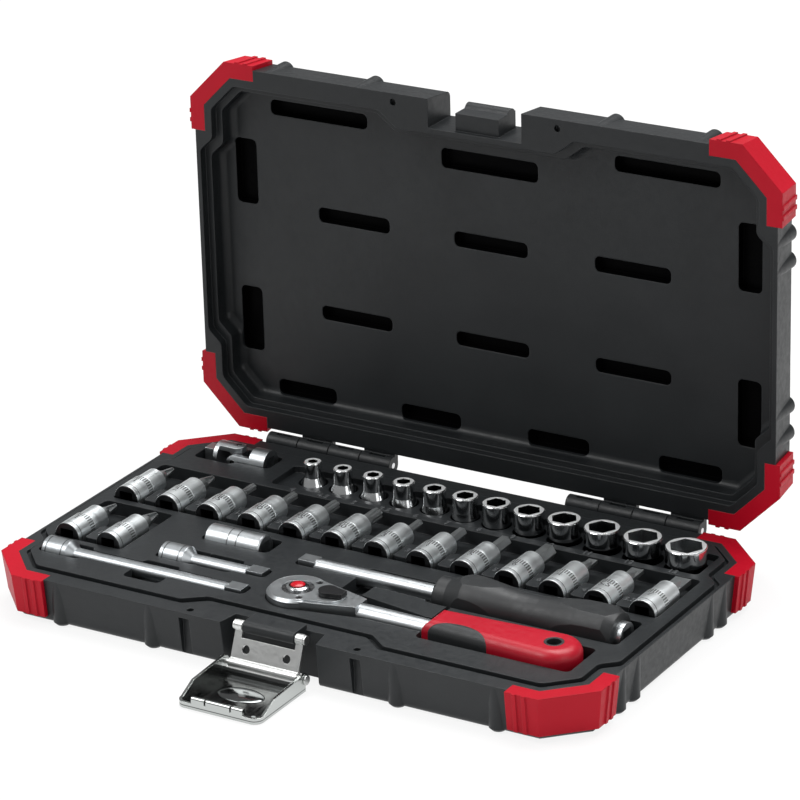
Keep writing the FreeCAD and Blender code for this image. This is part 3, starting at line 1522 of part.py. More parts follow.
make_base()
make_lid()
make_latch()
for across, (socket_x, socket_y, reach) in zip(SOCKET_SIZES, socket_places()):
    make_socket(across, socket_x, socket_y)
for bits, row in ((BACK_BITS, bits_y), (FRONT_BITS, front_bits_y)):
    for index, (name, form, across) in enumerate(bits):
        make_bit_socket(name, form, across, bits_x + index * bit_pitch, row)
make_extension("extension_long", S["long_extension"], long_extension_x, long_extension_y)
make_extension("extension_short", S["short_extension"], short_extension_x, short_extension_y)
make_adapter()
make_universal_joint()
make_spinner()
make_ratchet()
write_parts()
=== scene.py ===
"""Looks of the socket wrench set: materials, small pieces, stage, light and camera."""
import math

import bmesh
import bpy
from mathutils import Matrix, Vector


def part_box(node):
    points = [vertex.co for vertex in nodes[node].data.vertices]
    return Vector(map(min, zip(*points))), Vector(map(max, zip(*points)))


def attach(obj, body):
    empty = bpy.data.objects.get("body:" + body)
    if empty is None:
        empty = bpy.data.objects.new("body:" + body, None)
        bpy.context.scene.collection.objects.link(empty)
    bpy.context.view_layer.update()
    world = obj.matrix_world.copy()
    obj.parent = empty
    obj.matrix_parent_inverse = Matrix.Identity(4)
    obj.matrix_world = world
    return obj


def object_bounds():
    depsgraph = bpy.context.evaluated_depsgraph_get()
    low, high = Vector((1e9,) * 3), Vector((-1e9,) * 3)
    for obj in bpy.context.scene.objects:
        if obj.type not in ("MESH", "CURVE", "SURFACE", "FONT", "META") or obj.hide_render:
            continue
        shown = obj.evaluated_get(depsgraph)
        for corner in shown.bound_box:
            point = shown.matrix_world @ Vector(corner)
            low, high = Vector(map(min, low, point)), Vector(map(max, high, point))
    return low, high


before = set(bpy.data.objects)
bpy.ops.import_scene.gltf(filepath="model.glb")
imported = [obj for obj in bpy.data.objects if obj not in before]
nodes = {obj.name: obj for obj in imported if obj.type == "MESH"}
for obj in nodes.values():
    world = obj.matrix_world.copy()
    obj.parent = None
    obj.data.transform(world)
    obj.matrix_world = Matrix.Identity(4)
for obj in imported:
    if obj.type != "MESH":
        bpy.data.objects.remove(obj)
cad_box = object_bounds()
scene = bpy.context.scene


# Places read from the CAD nodes

def middle(name):
    """Centre and corners of a CAD node's box."""
    low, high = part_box(name)
    return (Vector(low) + Vector(high)) / 2, Vector(low), Vector(high)


back_centre, back_low = middle("bit_cross_a1")[:2]
front_centre, front_low = middle("bit_cross_b1")[:2]
bit_pitch = middle("bit_cross_a2")[0].x - back_centre.x
sleeve_axis = back_centre.z
socket_top = middle("socket_13mm")[2].z
ratchet_centre = middle("ratchet_gear")[0]
button_top = middle("ratchet_button")[2].z
screw_centre = middle("ratchet_cover_screws")[0]
long_end = middle("extension_long")[1].x
short_end = middle("extension_short")[1].x
adapter_middle = middle("adapter")[0].x
lever_centre, lever_low = middle("latch_lever")[:2]
lever_pin = middle("latch_lever_pin")[0]


# Shared by the materials. Lengths are in metres, noise scales in cycles for each metre

MOULD_EDGE = 0.0006
STEEL_EDGE = 0.00025
SHEET_EDGE = 0.0003
SCREW_EDGE = 0.0002
BUTTON_EDGE = 0.0004
EDGE_SAMPLES = 6
WELL_SAMPLES = 8
MARK_DEPTH = 0.00005
MARK_STRENGTH = 0.05
RECESS_DEPTH = 0.0003
RECESS_STRENGTH = 0.8
DULL_SCALE = 90.0
DULL_SHARE = 0.86


def scaled(color, share):
    return tuple(share * value for value in color)


class Graph:
    """A material's node tree with short calls for the nodes used here."""

    INPUTS = {
        "color": "Base Color",
        "rough": "Roughness",
        "metal": "Metallic",
        "level": "Specular IOR Level",
    }

    def __init__(self, name):
        self.material = bpy.data.materials.new(name)
        self.material.use_nodes = True
        self.tree = self.material.node_tree
        self.tree.nodes.clear()
        self.output = self.add("ShaderNodeOutputMaterial")
        self.shader = self.add("ShaderNodeBsdfPrincipled")
        self.link(self.shader.outputs[0], self.output.inputs[0])
        self.place = self.add("ShaderNodeTexCoord").outputs["Object"]

    def add(self, kind, **values):
        made = self.tree.nodes.new(kind)
        for key, value in values.items():
            setattr(made, key, value)
        return made

    def link(self, start, end):
        self.tree.links.new(start, end)

    def feed(self, socket, value):
        """Link a node's output to a socket, or set the socket to a number or a colour."""
        if isinstance(value, bpy.types.NodeSocket):
            self.link(value, socket)
        elif isinstance(value, tuple):
            socket.default_value = (*value, 1.0)
        else:
            socket.default_value = value

    def set(self, **values):
        for key, value in values.items():
            self.feed(self.shader.inputs[self.INPUTS[key]], value)

    def noise(self, scale, detail=3.0, rough=0.55, stretch=None):
        made = self.add("ShaderNodeTexNoise")
        made.inputs["Scale"].default_value = scale
        made.inputs["Detail"].default_value = detail
        made.inputs["Roughness"].default_value = rough
        place = self.place
        if stretch:
            mapping = self.add("ShaderNodeMapping")
            mapping.inputs["Scale"].default_value = stretch
            self.link(place, mapping.inputs["Vector"])
            place = mapping.outputs["Vector"]
        self.link(place, made.inputs["Vector"])
        return made.outputs["Fac"]

    def marks(self, scale, streak=None):
        """Finishing marks of steel, drawn out along the axes on which the streak is small."""
        return self.noise(scale, rough=0.6, stretch=streak)

    def spread(self, value, low, high, start=0.3, end=0.7):
        """Map a value that runs from start to end onto low to high."""
        made = self.add("ShaderNodeMapRange")
        self.feed(made.inputs["Value"], value)
        made.inputs["From Min"].default_value = start
        made.inputs["From Max"].default_value = end
        made.inputs["To Min"].default_value = low
        made.inputs["To Max"].default_value = high
        return made.outputs["Result"]

    def mix(self, factor, first, second):
        made = self.add("ShaderNodeMix", data_type="RGBA")
        self.feed(made.inputs["Factor"], factor)
        self.feed(made.inputs["A"], first)
        self.feed(made.inputs["B"], second)
        return made.outputs["Result"]

    def math(self, operation, first, second=0.0):
        made = self.add("ShaderNodeMath", operation=operation)
        self.feed(made.inputs[0], first)
        self.feed(made.inputs[1], second)
        return made.outputs[0]

    def both(self, first, second):
        return self.math("MULTIPLY", first, second)

    def either(self, first, second):
        return self.math("MAXIMUM", first, second)

    def below(self, value, limit):
        return self.math("LESS_THAN", value, limit)

    def above(self, value, limit):
        return self.math("GREATER_THAN", value, limit)

    def between(self, value, low, high):
        """One where the value lies between two limits, else zero."""
        return self.both(self.above(value, low), self.below(value, high))

    def squares(self, first, second):
        """Sum of the squares of two values."""
        return self.math("ADD", self.both(first, first), self.both(second, second))

    def axis(self, name, start=0.0):
        """Distance along an axis from a starting place."""
        made = self.add("ShaderNodeSeparateXYZ")
        self.link(self.place, made.inputs[0])
        return self.math("SUBTRACT", made.outputs[name], start)

    def wrap(self, value, pitch):
        """Distance to the nearest place of an even row that starts at zero."""
        made = self.add("ShaderNodeMath", operation="WRAP")
        self.feed(made.inputs[0], value)
        made.inputs[1].default_value = pitch / 2
        made.inputs[2].default_value = -pitch / 2
        return made.outputs[0]

    def clouded(self, scale, first, second):
        """Two colours that drift into each other."""
        return self.mix(self.spread(self.noise(scale), 0.0, 1.0), first, second)

    def steel(self, color):
        """A steel colour with slightly dulled patches."""
        return self.clouded(DULL_SCALE, scaled(color, DULL_SHARE), color)

    def soft_edges(self, radius):
        """Normal that is rounded over at sharp edges."""
        made = self.add("ShaderNodeBevel", samples=EDGE_SAMPLES)
        made.inputs["Radius"].default_value = radius
        return made.outputs[0]

    def edge_turn(self, soft):
        """How far a rounded normal turns from the flat one."""
        plain = self.add("ShaderNodeNewGeometry")
        turned = self.add("ShaderNodeVectorMath", operation="DOT_PRODUCT")
        self.link(soft, turned.inputs[0])
        self.link(plain.outputs["True Normal"], turned.inputs[1])
        return self.math("SUBTRACT", 1.0, turned.outputs["Value"])

    def openness(self, reach):
        """One on open faces, falling towards zero deep inside a hole."""
        made = self.add("ShaderNodeAmbientOcclusion", samples=WELL_SAMPLES)
        made.inputs["Distance"].default_value = reach
        return made.outputs["AO"]

    def bump(self, height, strength, distance, normal):
        """Raise the surface by a height on top of a normal, and return the new normal."""
        made = self.add("ShaderNodeBump")
        made.inputs["Strength"].default_value = strength
        made.inputs["Distance"].default_value = distance
        self.link(height, made.inputs["Height"])
        self.link(normal, made.inputs["Normal"])
        self.link(made.outputs[0], self.shader.inputs["Normal"])
        return made.outputs[0]


# Moulded plastic

CLOUD_SCALE = 28.0
PATCH_SCALE = 160.0
PATCH_LEAST = 0.3
# Lighter edges, partly wear and partly a painted edge highlight: how far they lighten and over which turn
# of the normal
EDGE_SHEEN_MOST = 0.55
EDGE_SHEEN_TURN = (0.02, 0.3)
SHINE_SCALE = 420.0
SHINE_BELOW = 0.05
SHINE_ABOVE = 0.07
WAVE_SCALE = 24.0
GRAIN_STRENGTH = 0.35
# Box of the lid's tack-off slots, painted near black inside as painted shade, with a lower specular level
# there
SHADED_SLOT_ROOM = ((-0.1295, 0.1016, 0.033), (0.1295, 0.1062, 0.177))
SLOT_SHADE = (0.0015, 0.0015, 0.0017)
SLOT_GLOSS = 0.02


def moulded(name, dark, light, edge_wear_and_sheen, rough, grain=900.0, depth=0.0001, gloss=0.3, waves=0.0, shaded_slots=None):
    """Moulded plastic: fine grain, slow changes of tone, edges worn a little lighter with a painted edge
    highlight, and painted shade inside the given slots.
    """
    graph = Graph(name)
    soft = graph.soft_edges(MOULD_EDGE)
    cloud = graph.spread(graph.noise(CLOUD_SCALE, detail=4.0), 0.0, 1.0)
    patchy = graph.spread(graph.noise(PATCH_SCALE), PATCH_LEAST, 1.0)
    # Edges are painted lighter in patches: partly wear, partly a painted highlight for light caught on
    # rounded edges
    wear_and_sheen = graph.spread(graph.edge_turn(soft), 0.0, EDGE_SHEEN_MOST, *EDGE_SHEEN_TURN)
    color = graph.mix(graph.both(wear_and_sheen, patchy), graph.mix(cloud, dark, light), edge_wear_and_sheen)
    graph.set(level=gloss)
    # Painted shade: inside the slots the colour is painted near black and the specular level lowered
    if shaded_slots:
        shade_share = 1.0
        for axis, low, high in zip("XYZ", *shaded_slots):
            shade_share = graph.both(graph.between(graph.axis(axis), low, high), shade_share)
        color = graph.mix(shade_share, color, SLOT_SHADE)
        graph.set(level=graph.spread(shade_share, gloss, SLOT_GLOSS, start=0.0, end=1.0))
    shine = graph.noise(SHINE_SCALE, detail=2.0)
    graph.set(color=color, rough=graph.spread(shine, rough - SHINE_BELOW, rough + SHINE_ABOVE))
    if waves:
        soft = graph.bump(graph.noise(WAVE_SCALE, detail=1.0), 1.0, waves, soft)
    graph.bump(graph.noise(grain, detail=2.0, rough=0.6), GRAIN_STRENGTH, depth, soft)
    return graph.material


CHARCOAL = moulded("charcoal_plastic", dark=(0.0145, 0.0164, 0.0178), light=(0.0195, 0.0218, 0.0234),
                   edge_wear_and_sheen=(0.085, 0.091, 0.096), rough=0.40)
# The lid's plastic is a darker copy of the base's plastic: painted shade on the lid
LID_CHARCOAL = moulded("lid_plastic", dark=(0.0115, 0.0130, 0.0142), light=(0.0155, 0.0174, 0.0188),
                       edge_wear_and_sheen=(0.068, 0.073, 0.077), rough=0.40, waves=0.0011, shaded_slots=SHADED_SLOT_ROOM)
# The raised numbers are painted lighter than the tray, with lighter edges: a painted sheen for light
# caught on their edges
RAISED = moulded("raised_numbers", dark=(0.045, 0.049, 0.052), light=(0.055, 0.059, 0.062),
                 edge_wear_and_sheen=(0.14, 0.145, 0.15), rough=0.34, gloss=0.5)
RED = moulded("red_plastic", dark=(0.36, 0.0015, 0.011), light=(0.41, 0.002, 0.014),
              edge_wear_and_sheen=(0.55, 0.03, 0.045), rough=0.44, depth=0.00006, gloss=0.16)
RED_GRIP = moulded("red_grip", dark=(0.35, 0.003, 0.014), light=(0.40, 0.005, 0.018),
                   edge_wear_and_sheen=(0.55, 0.05, 0.06), rough=0.36, depth=0.00006, gloss=0.35)
BLACK_GRIP = moulded("black_grip", dark=(0.014, 0.0155, 0.0165), light=(0.022, 0.024, 0.0255),
                     edge_wear_and_sheen=(0.07, 0.074, 0.077), rough=0.46, grain=1400.0, gloss=0.45)
BLACK_LEVER = moulded("black_lever", dark=(0.006, 0.006, 0.007), light=(0.010, 0.010, 0.011),
                      edge_wear_and_sheen=(0.06, 0.06, 0.062), rough=0.36)


# Plain steel

SHEET_STREAK = (1.0, 0.06, 1.0)
SHEET_SCALE = 900.0


def polished(name, color, rough, streak=None, scale=600.0, strength=0.06):
    """Plated or polished steel with faint finishing marks and slightly dulled patches."""
    graph = Graph(name)
    marks = graph.marks(scale, streak)
    graph.set(color=graph.steel(color), metal=1.0, rough=graph.spread(marks, *rough))
    graph.bump(marks, strength, MARK_DEPTH, graph.soft_edges(STEEL_EDGE))
    return graph.material


SATIN = polished("satin_chrome", (0.54, 0.565, 0.58), rough=(0.31, 0.38), strength=0.012)
SHEET = polished("bright_sheet", (0.78, 0.79, 0.78), rough=(0.30, 0.42), streak=SHEET_STREAK,
                 scale=SHEET_SCALE)
# The raised oval is coloured dark as a painted reflection of the dark case around it
OVAL_SHEET = polished("oval_sheet", (0.22, 0.23, 0.23), rough=(0.08, 0.16), streak=SHEET_STREAK,
                      scale=SHEET_SCALE)
FOLD_SHEET = polished("folded_sheet", (0.15, 0.155, 0.155), rough=(0.16, 0.34), streak=(0.04, 1.0, 1.0),
                      scale=1200.0, strength=0.2)
PIN_STEEL = polished("pin_steel", (0.75, 0.75, 0.76), rough=(0.14, 0.26), streak=(0.05, 1.0, 1.0),
                     scale=900.0)
DARK_STEEL = polished("oiled_steel", (0.32, 0.32, 0.33), rough=(0.2, 0.34))


# Lever's sheet

# Painted dark reflection on the lever's tray floor: its thickness band, share of the colour and
# patchiness
TRAY_SKIN = 0.0002
FLOOR_REFLECTION_SHARE = 0.12
TRAY_SCALE = 70.0
TRAY_LEAST = 0.75
TRAY_ROUGH = (0.1, 0.2)
SHEET_THICK = 0.0012


def pressed_sheet(name, color, floor):
    """Bright pressed sheet whose tray floor carries a patchy painted dark reflection."""
    graph = Graph(name)
    marks = graph.marks(SHEET_SCALE, SHEET_STREAK)
    dark_reflection_floor = graph.between(graph.axis("Z"), floor - TRAY_SKIN, floor + TRAY_SKIN)
    patchy = graph.spread(graph.noise(TRAY_SCALE), TRAY_LEAST, 1.0)
    shade = graph.mix(graph.both(dark_reflection_floor, patchy), color, scaled(color, FLOOR_REFLECTION_SHARE))
    graph.set(color=shade, metal=1.0, rough=graph.spread(marks, *TRAY_ROUGH))
    graph.bump(marks, MARK_STRENGTH, MARK_DEPTH, graph.soft_edges(SHEET_EDGE))
    return graph.material


LEVER_SHEET = pressed_sheet("lever_sheet", (0.50, 0.52, 0.51), floor=lever_low.z + SHEET_THICK)


# Sockets

SOCKET_STREAK = (1.0, 1.0, 0.15)
SOCKET_SCALE = 600.0
SOCKET_ROUGH = (0.10, 0.18)
# Mouth face: rougher as a turned matt face, and painted paler as a painted highlight of the light from
# above
MOUTH_SKIN = 0.00005
MOUTH_ROUGH = 0.55
MOUTH_HIGHLIGHT = (0.95, 0.96, 0.96)
# Painted shade in the wells: how far the occlusion looks, the openness over which it fades in, and its
# colour
WELL_REACH = 0.012
WELL_OPENNESS = (0.15, 0.62)
WELL_SHADE = (0.13, 0.132, 0.135)


def socket_steel(name, color):
    """Polished sockets with a matt mouth face painted paler as a painted highlight, and painted shade in
    their wells.
    """
    graph = Graph(name)
    marks = graph.marks(SOCKET_SCALE, SOCKET_STREAK)
    mouth = graph.above(graph.axis("Z"), socket_top - MOUTH_SKIN)
    # Painted shade: the colour darkens where the ambient occlusion finds the hole closed in
    shade_share = graph.spread(graph.openness(WELL_REACH), 1.0, 0.0, *WELL_OPENNESS)
    tint = graph.mix(shade_share, graph.steel(color), WELL_SHADE)
    rough = graph.either(graph.spread(marks, *SOCKET_ROUGH), graph.both(mouth, MOUTH_ROUGH))
    graph.set(color=graph.mix(mouth, tint, MOUTH_HIGHLIGHT), metal=1.0, rough=rough)
    graph.bump(marks, MARK_STRENGTH, MARK_DEPTH, graph.soft_edges(STEEL_EDGE))
    return graph.material


SOCKET_STEEL = socket_steel("socket_chrome", (0.86, 0.88, 0.89))


# Extensions and adapter

BAR_RINGS = (0.0022, 0.0098)
ADAPTER_RINGS = (-0.0022, 0.0022)
RING_HALF = 0.00028
# Share of the bar's colour left in the grooves: painted shade
RING_SHADE_SHARE = 0.28
RING_STRENGTH = 0.5
RING_DEPTH = 0.00015
BAR_STREAK = (1.0, 0.2, 1.0)
BAR_SCALE = 700.0
BAR_ROUGH = (0.31, 0.37)
BAR_MARKS = 0.012


def ringed_bar(name, color, start, rings):
    """Satin bar along X with turned ring grooves at given distances from its start, painted darker inside
    as painted shade.
    """
    graph = Graph(name)
    along = graph.axis("X", start)
    groove = 0.0
    for place in rings:
        groove = graph.either(graph.between(along, place - RING_HALF, place + RING_HALF), groove)
    marks = graph.marks(BAR_SCALE, BAR_STREAK)
    shade = graph.mix(groove, color, scaled(color, RING_SHADE_SHARE))
    graph.set(color=shade, metal=1.0, rough=graph.spread(marks, *BAR_ROUGH))
    height = graph.math("SUBTRACT", graph.both(marks, BAR_MARKS), groove)
    graph.bump(height, RING_STRENGTH, RING_DEPTH, graph.soft_edges(STEEL_EDGE))
    return graph.material


LONG_BAR = ringed_bar("long_bar", (0.42, 0.445, 0.46), long_end, BAR_RINGS)
SHORT_BAR = ringed_bar("short_bar", (0.45, 0.475, 0.49), short_end, BAR_RINGS)
ADAPTER_BAR = ringed_bar("adapter_bar", (0.52, 0.545, 0.56), adapter_middle, ADAPTER_RINGS)


# Bit sockets, measured along each sleeve from its drive end

# Painted shade and dark reflection on the drive face and in the bore: their depth, colour and reach
DRIVE_FACE = 0.00025
DRIVE_SHADE = (0.045, 0.046, 0.048)
BORE_REACH = 0.0049
BORE_DEEP = 0.0115
SLEEVE_RING = (0.00235, 0.00275)
KNURL_BAND = (0.0092, 0.0122)
KNURL_COUNT = 34.0
KNURL_LEVEL = 0.25
CUT_SHADE_SHARE = 0.22
KNURL_STRENGTH = 0.35
KNURL_DEPTH = 0.00012
BIT_START = (0.0236, 0.0240)
BIT_SHARE = 0.45
SLEEVE_STREAK = (0.06, 1.0, 0.06)
SLEEVE_SCALE = 900.0
SLEEVE_ROUGH = (0.33, 0.45)
SLEEVE_MARKS = 0.12


def sleeve_steel(name, color, row, first):
    """Satin sleeves of one row: painted shade on the drive face and in the bore, one ring and a band of
    axial grooves painted darker as painted shade, and a darker bit.
    """
    graph = Graph(name)
    along = graph.axis("Y", row)
    side = graph.wrap(graph.axis("X", first), bit_pitch)
    height = graph.axis("Z", sleeve_axis)
    turn = graph.math("ARCTAN2", side, height)
    near_axis = graph.below(graph.squares(side, height), BORE_REACH ** 2)
    bore = graph.both(near_axis, graph.below(along, BORE_DEEP))
    shaded_face = graph.either(bore, graph.below(along, DRIVE_FACE))
    teeth = graph.above(graph.math("SINE", graph.both(turn, KNURL_COUNT)), KNURL_LEVEL)
    knurl = graph.both(teeth, graph.between(along, *KNURL_BAND))
    cut = graph.either(graph.between(along, *SLEEVE_RING), knurl)
    bit = graph.spread(along, 0.0, 1.0, *BIT_START)
    # Painted shade: the ring and the axial grooves are painted darker
    shade = graph.mix(cut, color, scaled(color, CUT_SHADE_SHARE))
    # Painted shade: the drive face and the bore are painted near black for the dark well they face and
    # the shadow in the hole
    shade = graph.mix(shaded_face, shade, DRIVE_SHADE)
    shade = graph.mix(bit, shade, scaled(color, BIT_SHARE))
    marks = graph.marks(SLEEVE_SCALE, SLEEVE_STREAK)
    graph.set(color=shade, metal=1.0, rough=graph.spread(marks, *SLEEVE_ROUGH))
    relief = graph.math("SUBTRACT", graph.both(marks, SLEEVE_MARKS), cut)
    graph.bump(relief, KNURL_STRENGTH, KNURL_DEPTH, graph.soft_edges(STEEL_EDGE))
    return graph.material


# The front row is a darker copy of the same sleeves as the back row: painted shade
BACK_SLEEVES = sleeve_steel("back_sleeves", (0.93, 0.97, 0.98), back_low.y, back_centre.x)
SHADED_FRONT_SLEEVES = sleeve_steel("front_sleeves_shaded", (0.70, 0.735, 0.745), front_low.y, front_centre.x)


# Cover screws

SCREW_OFFSET = 0.008
SCREW_DARK = (0.14, 0.14, 0.145)
SCREW_SCALE = 800.0
SCREW_ROUGH = (0.25, 0.4)
RECESS_LONG = 0.001
RECESS_HALF = 0.00028
RECESS_SHADE = (0.01, 0.01, 0.01)


def screw_steel(name):
    """Dark screw heads with a cross recess painted black as painted shade, one each side of the ratchet's
    middle line.
    """
    graph = Graph(name)
    along = graph.math("ABSOLUTE", graph.axis("X", screw_centre.x))
    side = graph.math("ABSOLUTE", graph.axis("Y", screw_centre.y))
    across = graph.math("ABSOLUTE", graph.math("SUBTRACT", side, SCREW_OFFSET))
    long_arm = graph.both(graph.below(along, RECESS_LONG), graph.below(across, RECESS_HALF))
    cross_arm = graph.both(graph.below(along, RECESS_HALF), graph.below(across, RECESS_LONG))
    recess = graph.either(long_arm, cross_arm)
    rough = graph.spread(graph.noise(SCREW_SCALE), *SCREW_ROUGH)
    graph.set(color=graph.mix(recess, SCREW_DARK, RECESS_SHADE), metal=1.0, rough=rough)
    relief = graph.math("SUBTRACT", 1.0, recess)
    graph.bump(relief, RECESS_STRENGTH, RECESS_DEPTH, graph.soft_edges(SCREW_EDGE))
    return graph.material


SCREWS = screw_steel("cover_screws")


# Release button

BUTTON_DOME = 0.0031
BUTTON_COLLAR = 0.0037
BUTTON_REDS = ((0.42, 0.003, 0.010), (0.48, 0.004, 0.013))
BUTTON_GROOVE_SHADE = (0.006, 0.006, 0.006)
BUTTON_SCALE = 300.0
BUTTON_ROUGH = (0.22, 0.3)
COLLAR_STEEL = (0.62, 0.64, 0.65)


def release_button(name):
    """Red button inside a groove painted black as painted shade, and a steel collar."""
    graph = Graph(name)
    along = graph.axis("X", ratchet_centre.x)
    across = graph.axis("Y", ratchet_centre.y)
    radius = graph.math("SQRT", graph.squares(along, across))
    cloud = graph.spread(graph.noise(BUTTON_SCALE), 0.0, 1.0)
    groove = graph.between(radius, BUTTON_DOME, BUTTON_COLLAR)
    collar = graph.above(radius, BUTTON_COLLAR)
    shade = graph.mix(groove, graph.mix(cloud, *BUTTON_REDS), BUTTON_GROOVE_SHADE)
    shade = graph.mix(collar, shade, COLLAR_STEEL)
    graph.set(color=shade, metal=collar, rough=graph.spread(cloud, *BUTTON_ROUGH))
    relief = graph.math("SUBTRACT", 1.0, groove)
    graph.bump(relief, RECESS_STRENGTH, RECESS_DEPTH, graph.soft_edges(BUTTON_EDGE))
    return graph.material


BUTTON = release_button("release_button")


# Printed numbers

INK_SCALE = 1500.0
INK_SHARE = 1.8
INK_ROUGH = (0.5, 0.65)


def printed(name, color):
    """Thin printed marking with slightly uneven ink."""
    graph = Graph(name)
    ink = graph.spread(graph.noise(INK_SCALE, detail=2.0), 0.0, 1.0)
    graph.set(color=graph.mix(ink, color, scaled(color, INK_SHARE)), rough=graph.spread(ink, *INK_ROUGH))
    return graph.material


INK = printed("size_ink", (0.012, 0.012, 0.013))


# Look of each CAD node

NODE_LOOKS = {
    "base_shell": CHARCOAL,
    "lid_shell": LID_CHARCOAL,
    "base_corner_guards": RED,
    "lid_corner_guards": RED,
    "hinge_pin_left": PIN_STEEL,
    "hinge_pin_right": PIN_STEEL,
    "latch_lever": LEVER_SHEET,
    "joint_cross": DARK_STEEL,
    "extension_long": LONG_BAR,
    "extension_short": SHORT_BAR,
    "adapter": ADAPTER_BAR,
    "ratchet_handle": RED_GRIP,
    "ratchet_handle_inlay": BLACK_GRIP,
    "ratchet_button": BUTTON,
    "ratchet_reverse_lever": BLACK_LEVER,
    "ratchet_gear": DARK_STEEL,
    "ratchet_pawl": DARK_STEEL,
    "ratchet_cover_screws": SCREWS,
    "spinner_grip": BLACK_GRIP,
}


def look_of(name):
    """A node's own look, or else that of its family."""
    if name in NODE_LOOKS:
        return NODE_LOOKS[name]
    if name.startswith("latch"):
        return SHEET
    if name.startswith("bit_"):
        return SHADED_FRONT_SLEEVES if name.startswith("bit_cross_b") else BACK_SLEEVES
    return SOCKET_STEEL if name.startswith("socket") else SATIN


for name, thing in nodes.items():
    thing.data.materials.clear()
    thing.data.materials.append(look_of(name))


# Small pieces

def add_piece(name, mesh, material, body):
    mesh.name = name
    mesh.materials.clear()
    mesh.materials.append(material)
    piece = bpy.data.objects.new(name, mesh)
    scene.collection.objects.link(piece)
    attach(piece, body)
    return piece


def finished_mesh(built, name):
    """Mesh of a built form."""
    mesh = bpy.data.meshes.new(name)
    built.to_mesh(mesh)
    built.free()
    return mesh


# Folded edge behind the lever's plate; its profile is measured from the pin

FOLD_HALF = 0.0182
FOLD_FRONT = [(-0.0034, -0.0040), (-0.0032, -0.0022), (-0.0027, -0.0010)]
FOLD_BACK = [(-0.0023, -0.0011), (-0.0025, -0.0021), (-0.0027, -0.0040)]
FOLD_ROUNDING = 0.00015


def lever_fold():
    """Upright fold that closes the lever's tray towards the link."""
    profile = FOLD_FRONT + FOLD_BACK
    built = bmesh.new()
    rings = []
    for x in (-FOLD_HALF, FOLD_HALF):
        ring = [built.verts.new((x, lever_pin.y + y, lever_pin.z + z)) for y, z in profile]
        built.faces.new(ring)
        rings.append(ring)
    for index in range(len(profile)):
        after = (index + 1) % len(profile)
        built.faces.new((rings[0][index], rings[0][after], rings[1][after], rings[1][index]))
    bmesh.ops.recalc_face_normals(built, faces=built.faces)
    mesh = finished_mesh(built, "lever_fold")
    piece = add_piece("lever_fold", mesh, FOLD_SHEET, "latch_lever")
    rounding = piece.modifiers.new("rounding", "BEVEL")
    rounding.width = FOLD_ROUNDING
    rounding.segments = 2


# Raised oval of the lever and dome of the release button

DOME_RINGS = 6
DOME_SIDES = 48
OVAL_HALF = (0.0105, 0.0062)
OVAL_RISE = 0.0009
OVAL_FORWARD = 0.001
BUTTON_RISE = 0.0009


def low_dome(name, centre, half, rise, material, body):
    """Low rounded dome over an ellipse, closed by a flat face below."""
    built = bmesh.new()
    rings = []
    for step in range(DOME_RINGS):
        lift = math.pi / 2 * step / DOME_RINGS
        ring = []
        for side in range(DOME_SIDES):
            turn = 2 * math.pi * side / DOME_SIDES
            x = centre[0] + half[0] * math.cos(lift) * math.cos(turn)
            y = centre[1] + half[1] * math.cos(lift) * math.sin(turn)
            ring.append(built.verts.new((x, y, centre[2] + rise * math.sin(lift))))
        rings.append(ring)
    built.faces.new(rings[0])
    top = built.verts.new((centre[0], centre[1], centre[2] + rise))
    for side in range(DOME_SIDES):
        after = (side + 1) % DOME_SIDES
        for lower, upper in zip(rings, rings[1:]):
            built.faces.new((lower[side], lower[after], upper[after], upper[side]))
        built.faces.new((rings[-1][side], rings[-1][after], top))
    bmesh.ops.recalc_face_normals(built, faces=built.faces)
    for shaded_face in built.faces:
        shaded_face.smooth = len(shaded_face.verts) < DOME_SIDES
    add_piece(name, finished_mesh(built, name), material, body)


def raised_domes():
    oval_centre = (lever_centre.x, lever_centre.y - OVAL_FORWARD, lever_low.z + SHEET_THICK)
    low_dome("lever_oval", oval_centre, OVAL_HALF, OVAL_RISE, OVAL_SHEET, "latch_lever")
    button_centre = (ratchet_centre.x, ratchet_centre.y, button_top)
    button_half = (BUTTON_DOME, BUTTON_DOME)
    low_dome("button_dome", button_centre, button_half, BUTTON_RISE, BUTTON, "ratchet_button")


# Size numbers

SOCKETS = ["4", "4.5", "5", "5.5", "6", "7", "8", "9", "10", "11", "12", "13"]
BACK_BITS = [("cross_a1", "1"), ("cross_a2", "2"),
             ("star_15", "15"), ("star_20", "20"), ("star_25", "25"), ("star_30", "30"),
             ("hex_3", "3"), ("hex_4", "4"), ("hex_5", "5"), ("hex_6", "6"),
             ("flat_4", "4"), ("flat_5p5", "5.5"), ("flat_7", "7")]
FRONT_BITS = [("cross_b1", "1"), ("cross_b2", "2")]
DIGIT_SHARE = 0.7
DIGIT_BEVEL = 0.15
DIGIT_STEPS = 4
TRAY_TOP = 0.021
TRAY_RISE = 0.0007
SOCKET_NUMBER_ROW = 0.0414
SOCKET_NUMBER_HIGH = 0.0032
BIT_NUMBER_IN = 0.0095
BIT_NUMBER_HIGH = 0.0030
INK_IN = 0.0075
INK_HIGH = 0.0032
INK_LIFT = 0.00003


def number_mesh(text, height, raised):
    """Mesh of a plain number, centred, with its face up."""
    curve = bpy.data.curves.new("number", "FONT")
    curve.body = text
    curve.size = height / DIGIT_SHARE
    curve.align_x = "CENTER"
    curve.align_y = "CENTER"
    curve.extrude = raised / 2
    curve.bevel_depth = DIGIT_BEVEL * raised
    curve.resolution_u = DIGIT_STEPS
    holder = bpy.data.objects.new("number", curve)
    scene.collection.objects.link(holder)
    bpy.context.view_layer.update()
    mesh = bpy.data.meshes.new_from_object(holder.evaluated_get(bpy.context.evaluated_depsgraph_get()))
    bpy.data.objects.remove(holder)
    bpy.data.curves.remove(curve)
    return mesh


